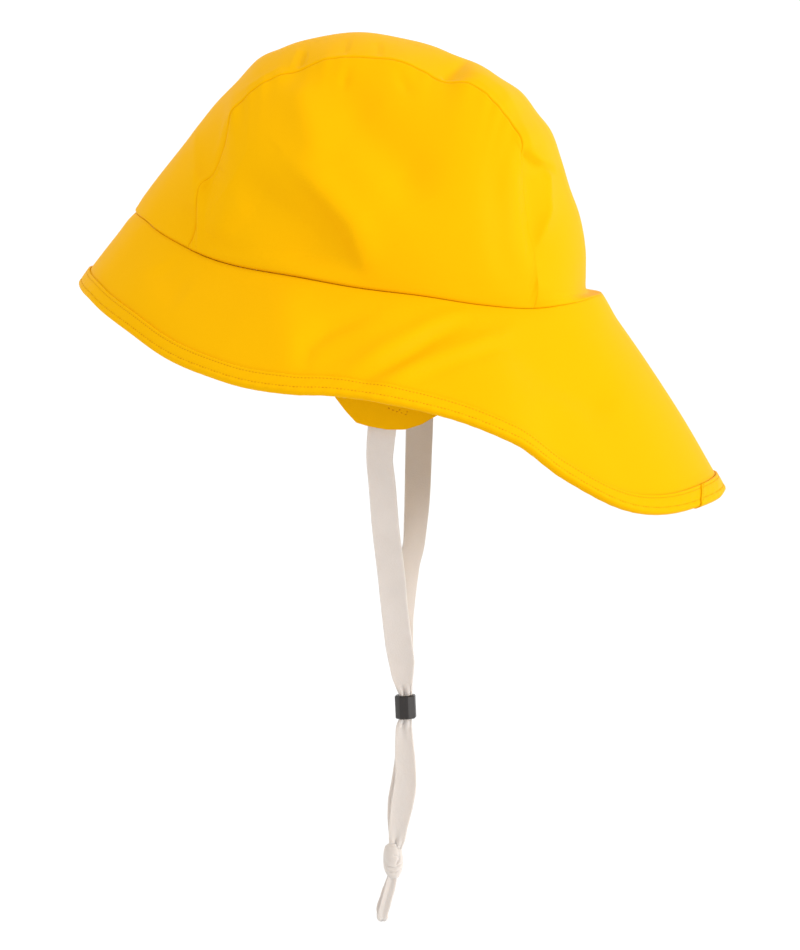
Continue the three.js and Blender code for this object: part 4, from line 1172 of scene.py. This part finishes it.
def stitch_grain():
    """Mesh of one stitch at the origin, lying along X."""
    bm = bmesh.new()
    size = Matrix.Diagonal((*(STITCH_SIZE / 2), 1))
    bmesh.ops.create_uvsphere(bm, u_segments=6, v_segments=4, radius=1, matrix=size)
    return mesh_from("stitch_grain", bm)


def add_stitches(bm, grain, spots, normals):
    """Joins one grain to the mesh at each spot of a row."""
    ways = unit(np.gradient(spots, axis=0))
    for spot, way, normal in zip(spots, ways, normals):
        along = Vector(way)
        across = Vector(normal).cross(along).normalized()
        axes = Matrix((along, across, along.cross(across))).transposed().to_4x4()
        place = Matrix.Translation(spot) @ axes
        grain.transform(place)
        bm.from_mesh(grain)
        grain.transform(place.inverted())


def binding_stitches():
    bm = bmesh.new()
    grain = stitch_grain()
    count = 0
    for share in ROW_SHARES:
        for face_sign in (1, -1):
            fine = np.linspace(0, 360, 1441)
            q = LIP * share if face_sign > 0 else 1 - LIP * share
            shares, lifts, _ = binding_section(np.full_like(fine, q))
            at, normal, _ = binding_frame(JOIN_ANGLE + fine + JOIN_SLANT * shares, shares)
            lift = lifts + face_sign * (extra_lift(fine) + STITCH_LIFT)
            row = at + normal * lift[:, None]
            reached = lengths_along(row)
            places = np.arange(STITCH_PITCH, reached[-1], STITCH_PITCH)
            spots, out = (rows_at(places, reached, rows) for rows in (row, normal))
            add_stitches(bm, grain, spots, out)
            count += len(places)
    # A short row across the strip's end holds the join.
    shares = np.linspace(0.12, 0.92, 6)
    _, lifts, _ = binding_section(LIP * shares)
    at, normal, _ = binding_frame(JOIN_ANGLE + CLOSING_ROW + JOIN_SLANT * shares, shares)
    lifts += extra_lift(np.zeros_like(shares)) + STITCH_LIFT
    add_stitches(bm, grain, at + normal * lifts[:, None], normal)
    bpy.data.meshes.remove(grain)
    print("Stitches in the binding:", count + len(shares))
    return finish_piece("binding_stitches", bm)


stitches = binding_stitches()

# %% [markdown]
# ## The ear flaps
# A rounded flap of the same cloth hangs inside each side, sewn in at the oval, to keep
# the ears dry. Only its lower end shows below the brim. It could be cut out of a sheet
# with a boolean, but then its rim would be ragged. So the grid's rows are let down to a
# rounded outline, which is a table of how far the flap hangs at each place across it.

# %% Ear flaps
FLAP_WIDTH = 86 * MM
FLAP_DEPTH = 62 * MM
FLAP_WALL = 1.6 * MM
FLAP_MIDDLE = 15 * MM
FLAP_TURN_UP = 2 * MM
FLAP_LEAN = 8.5 * MM
FLAP_INSET = CROWN_WALL + 0.6 * MM
# Place across the flap, and how far it hangs there as a share of its depth.
FLAP_OUTLINE = (
    (-1, 0), (-0.96, 0.3), (-0.88, 0.5), (-0.75, 0.68), (-0.6, 0.827), (-0.483, 0.921),
    (-0.375, 0.99), (-0.254, 1.003), (-0.057, 1.011), (0.131, 0.995), (0.297, 0.944),
    (0.484, 0.847), (0.7, 0.68), (0.86, 0.48), (0.96, 0.27), (1, 0),
)


def flap_point(q, r, side):
    """Outer face of a flap: q from -1 to 1 across it, r down from its sewn edge."""
    y = FLAP_MIDDLE + q * FLAP_WIDTH / 2
    angle = np.degrees(np.arccos(-y / (HEAD_LENGTH / 2 - FLAP_INSET)))
    hang = FLAP_TURN_UP + FLAP_DEPTH * np.interp(q, *zip(*FLAP_OUTLINE))
    drop = hang * r
    lean = FLAP_LEAN * drop / (FLAP_DEPTH + FLAP_TURN_UP)
    x = (HEAD_WIDTH / 2 - FLAP_INSET) * np.sin(np.radians(angle)) - lean
    return np.stack([side * x, y, seam_point(angle)[:, 2] + FLAP_TURN_UP - drop], axis=1)


def ear_flap(side):
    def place(p, q):
        across, down = -np.cos(np.pi * p), np.sin(np.pi / 2 * q)
        points = flap_point(across, down, side)
        return points, points[:, 1:]

    bm = moved_grid(90, 60, place)
    merge_ends(bm)
    node = f"ear_flap_{side_word(side)}"
    inside = 0, FLAP_MIDDLE, -FLAP_DEPTH / 2
    return lined_piece(f"{node}_cloth", node, bm, "yellow_flap", FLAP_WALL, inside)


flaps = [ear_flap(side) for side in (1, -1)]

# %% [markdown]
# ## Where the tape is sewn on
# The tape is held behind each flap by a box of stitches with a line across it, and these
# show on the flap's outer face. They could be drawn in the material, but a raised thread
# catches the light. So the grain of the binding's rows is used once more, a little
# further apart, along two short lines.

# %% Stitches that hold the tape
# Each point is a place to the back and up, in millimetres.
BOX = ((12.5, -56), (22.5, -56), (21.5, -69.4), (13.6, -66.4), (12.5, -56))
CROSS = ((13.4, -66.4), (17.8, -68.2), (22.5, -56))
BOX_PITCH = 1.25 * STITCH_PITCH


def flap_stitches(side):
    """A box of stitches with a cross in it, through the flap and the tape behind it."""
    bm = bmesh.new()
    grain = stitch_grain()
    for route in (BOX, CROSS):
        corners = np.array(route) * MM
        reached = lengths_along(corners)
        y, z = rows_at(np.arange(0, reached[-1], BOX_PITCH), reached, corners).T
        q = (y - FLAP_MIDDLE) / (FLAP_WIDTH / 2)
        hang = FLAP_TURN_UP + FLAP_DEPTH * np.interp(q, *zip(*FLAP_OUTLINE))
        top = flap_point(q, np.zeros_like(q), side)[:, 2]
        spots = flap_point(q, (top - z) / hang, side)
        add_stitches(bm, grain, spots, np.tile((side, 0.0, 0.0), (len(spots), 1)))
    bpy.data.meshes.remove(grain)
    return finish_piece(f"flap_stitches_{side_word(side)}", bm)


tape_stitches = [flap_stitches(side) for side in (1, -1)]

# %% [markdown]
# ## Writing shader maths
# A material is a graph of nodes, and its sums are easier to read as Python. A small class
# wraps a node's output, so that adding or multiplying two of them adds Math nodes, and
# one method makes every other kind of node.

# %% Shader helpers
class Wire:
    """An output of a node that can be added, subtracted and multiplied."""

    def __init__(self, finish, socket):
        self.finish = finish
        self.socket = socket

    def __add__(self, other):
        return self.finish.maths("ADD", self, other)

    def __mul__(self, other):
        return self.finish.maths("MULTIPLY", self, other)

    def __sub__(self, other):
        return self.finish.maths("SUBTRACT", self, other)

    def __rsub__(self, other):
        return self.finish.maths("SUBTRACT", other, self)

    __radd__ = __add__
    __rmul__ = __mul__


class Finish:
    """A material whose nodes are added one by one."""

    def __init__(self, name):
        self.material = bpy.data.materials.new(name)
        self.material.use_nodes = True
        self.tree = self.material.node_tree
        self.shader = self.tree.nodes["Principled BSDF"]

    def node(self, kind, settings=None, inputs=None, output=0):
        node = self.tree.nodes.new("ShaderNode" + kind)
        for key, value in (settings or {}).items():
            setattr(node, key, value)
        for key, value in (inputs or {}).items():
            self.feed(node.inputs[key], value)
        return Wire(self, node.outputs[output])

    def feed(self, socket, value):
        if isinstance(value, Wire):
            self.tree.links.new(value.socket, socket)
        else:
            socket.default_value = value

    def maths(self, operation, *values):
        return self.node("Math", {"operation": operation}, dict(enumerate(values)))

    def mix(self, factor, first, second):
        inputs = {0: factor, 6: first, 7: second}
        return self.node("Mix", {"data_type": "RGBA"}, inputs, output=2)

    def noise(self, scale, detail):
        """Noise that is fixed to the piece."""
        spot = self.node("TexCoord", output=3)
        return self.node("TexNoise", inputs={"Vector": spot, "Scale": scale, "Detail": detail})

    def bump(self, height, strength, depth):
        inputs = {"Height": height, "Strength": strength, "Distance": depth}
        return self.node("Bump", inputs=inputs)

    def looks(self, **values):
        for key, value in values.items():
            self.feed(self.shader.inputs[key.replace("_", " ")], value)


# %% [markdown]
# ## The coated cloth
# The cloth is a fine plain weave with a satin film of yellow over it. The film evens out
# the colour and hardly shines in this even light, so what shows is a faint weave and soft
# patches in colour and gloss. The weave comes from two sets of threads on the piece's UV
# map, because it has to follow the cloth, and an image of one would show where it repeats.

# %% Yellow finishes
YELLOW = (0.84, 0.435, 0.0006, 1)
YELLOW_DEEP = (0.80, 0.394, 0.0005, 1)
THREAD_PITCH = 0.55 * MM


def threads(finish, pitch):
    """Height of a plain weave on the cloth's UV map, from 0 to 1."""
    place = finish.node("UVMap", {"uv_map": "cloth"})
    parts = finish.node("SeparateXYZ", inputs={0: place})
    sides = [Wire(finish, parts.socket.node.outputs[k]) for k in (0, 1)]
    ridges = [finish.maths("SINE", side * (2 * np.pi / pitch)) for side in sides]
    over = ridges[0] * ridges[1]
    return 0.5 + over * 0.5


def coated_cloth(name, main, deep, roughness=0.46, weave=0.06):
    finish = Finish(name)
    patches = finish.noise(22.0, 3.0)
    specks = finish.noise(900.0, 2.0)
    grain = threads(finish, THREAD_PITCH)
    colour = finish.mix(patches * 0.7 + specks * 0.3, deep, main)
    rough = roughness + patches * 0.08 - grain * 0.03
    bump = finish.bump(grain * weave + specks * 0.05, 0.35, 0.4 * MM)
    finish.looks(Base_Color=colour, Roughness=rough, Normal=bump, Specular_IOR_Level=0.015)
    return finish.material


def dress(material, *pieces):
    for piece in pieces:
        piece.data.materials.clear()
        piece.data.materials.append(material)


cloth_finish = coated_cloth("yellow_coated_cloth", YELLOW, YELLOW_DEEP)
binding_finish = coated_cloth("yellow_binding_cloth", YELLOW, YELLOW_DEEP, weave=0.09)
flap_finish = coated_cloth("yellow_flap_cloth", YELLOW, YELLOW_DEEP, roughness=0.55)
dress(cloth_finish, *crown_sides, crown_centre, brim)
dress(binding_finish, binding)
dress(flap_finish, *flaps)

# %% [markdown]
# ## The back of the cloth
# The yellow film lies on a pale knitted backing, which is all that shows inside the hat. A
# lining could be a piece of its own, but here it is the same cloth seen from behind. So the
# inner face of the wall takes a second material, with wider ribs and no gloss. The thread
# of the stitches is the cloth's yellow painted darker and more orange, as painted shade for
# the dark dots along the rows of stitches.

# %% Backing
KNIT_PITCH = 1.1 * MM
BACKING_PALE = (0.75, 0.64, 0.47, 1)
BACKING_DEEP = (0.62, 0.5, 0.33, 1)

backing = Finish("knitted_backing")
fuzz = backing.noise(700.0, 3.0)
ribs = threads(backing, KNIT_PITCH) * 0.5 + fuzz * 0.5
backing.looks(Base_Color=backing.mix(ribs, BACKING_DEEP, BACKING_PALE))
backing.looks(Normal=backing.bump(ribs, 0.4, 0.4 * MM))
backing.looks(Roughness=0.85 + fuzz * 0.1, Specular_IOR_Level=0.2)
for piece in (*crown_sides, crown_centre, brim, *flaps):
    piece.data.materials.append(backing.material)

# %% Thread of the stitches, darkened as painted shade
# Both colours are darker and more orange than the cloth's yellow: painted shade for the dark dots of
# the stitches.
THREAD_SHADED = (0.7, 0.3, 0.003, 1)
THREAD_SHADED_DEEP = (0.56, 0.23, 0.002, 1)

shaded_thread_finish = Finish("yellow_thread_painted_shade")
fuzz = shaded_thread_finish.noise(2500.0, 2.0)
shaded_thread_finish.looks(Base_Color=shaded_thread_finish.mix(fuzz, THREAD_SHADED_DEEP, THREAD_SHADED))
shaded_thread_finish.looks(Normal=shaded_thread_finish.bump(fuzz, 0.4, 0.2 * MM))
shaded_thread_finish.looks(Roughness=0.6 + fuzz * 0.2, Specular_IOR_Level=0.04)
dress(shaded_thread_finish.material, stitches, *tape_stitches)

# %% [markdown]
# ## Cotton tape and plastic
# The tape is soft off-white cotton. Its weave is too fine to see, and what shows is a fuzz
# and the light that comes through it, so it gets noise for its surface and some scattering
# below it. The bead is moulded plastic with a low gloss and faint flow marks.

# %% Tape and bead finishes
COTTON = (0.685, 0.632, 0.59, 1)
COTTON_DEEP = (0.58, 0.523, 0.477, 1)
PLASTIC = (0.014, 0.009, 0.007, 1)
PLASTIC_DEEP = (0.008, 0.005, 0.004, 1)


def cotton(name):
    finish = Finish(name)
    fuzz = finish.noise(1400.0, 3.0)
    patches = finish.noise(60.0, 2.0)
    colour = finish.mix(patches * 0.6 + fuzz * 0.4, COTTON_DEEP, COTTON)
    bump = finish.bump(fuzz * 0.6 + patches * 0.4, 0.5, 0.3 * MM)
    finish.looks(Base_Color=colour, Roughness=0.85 + fuzz * 0.1, Normal=bump)
    finish.looks(Sheen_Weight=0.3, Sheen_Roughness=0.5, Specular_IOR_Level=0.3)
    finish.looks(Subsurface_Weight=0.6, Subsurface_Radius=(1, 0.9, 0.8))
    finish.looks(Subsurface_Scale=1.5 * MM)
    return finish.material


tape_finish = cotton("cream_cotton_tape")
dress(tape_finish, left_tape, right_tape, chin_knot, tape_loop)

bead_finish = Finish("dark_moulded_plastic")
flow = bead_finish.noise(420.0, 3.0)
bead_finish.looks(Base_Color=bead_finish.mix(flow, PLASTIC_DEEP, PLASTIC))
bead_finish.looks(Normal=bead_finish.bump(flow, 0.15, 0.2 * MM))
bead_finish.looks(Roughness=0.3 + flow * 0.15)
dress(bead_finish.material, bead)

# %% [markdown]
# ## Floor and light
# The hat is shown as a head would hold it, above a plain white floor, in the even light of
# a white studio with one large soft light behind the hat, a little above it, which is on
# the right in the picture. Area lights could stand for the studio's lamps, but a white
# world does most of their work evenly, and one wide sun is enough to shape the folds.

# %% Floor and lights
FLOOR_DEPTH = 0.42
FLOOR_SIZE = 60.0
STUDIO_LIGHT = 1.12
KEY_LIGHT = 1.8
KEY_WIDTH = 35  # degrees
KEY_PLACE = 160, 10  # azimuth and elevation in degrees

bm = bmesh.new()
bmesh.ops.create_grid(bm, x_segments=1, y_segments=1, size=FLOOR_SIZE)
bmesh.ops.translate(bm, vec=(0, 0, -FLOOR_DEPTH), verts=bm.verts)
floor = add_object("floor", mesh_from("floor", bm))
paper = Finish("white_paper")
paper.looks(Base_Color=(0.88, 0.88, 0.88, 1), Roughness=0.9)
dress(paper.material, floor)

world = bpy.data.worlds.new("white_studio")
world.use_nodes = True
background = world.node_tree.nodes["Background"]
background.inputs["Color"].default_value = (1, 1, 1, 1)
background.inputs["Strength"].default_value = STUDIO_LIGHT
bpy.context.scene.world = world

key = add_object("key_light", bpy.data.lights.new("key_light", "SUN"))
key.data.energy = KEY_LIGHT
key.data.angle = np.radians(KEY_WIDTH)
key.rotation_euler = direction(*KEY_PLACE).to_track_quat("Z", "Y").to_euler()

bpy.context.scene.view_settings.view_transform = "Standard"
bpy.context.scene.view_settings.look = "None"
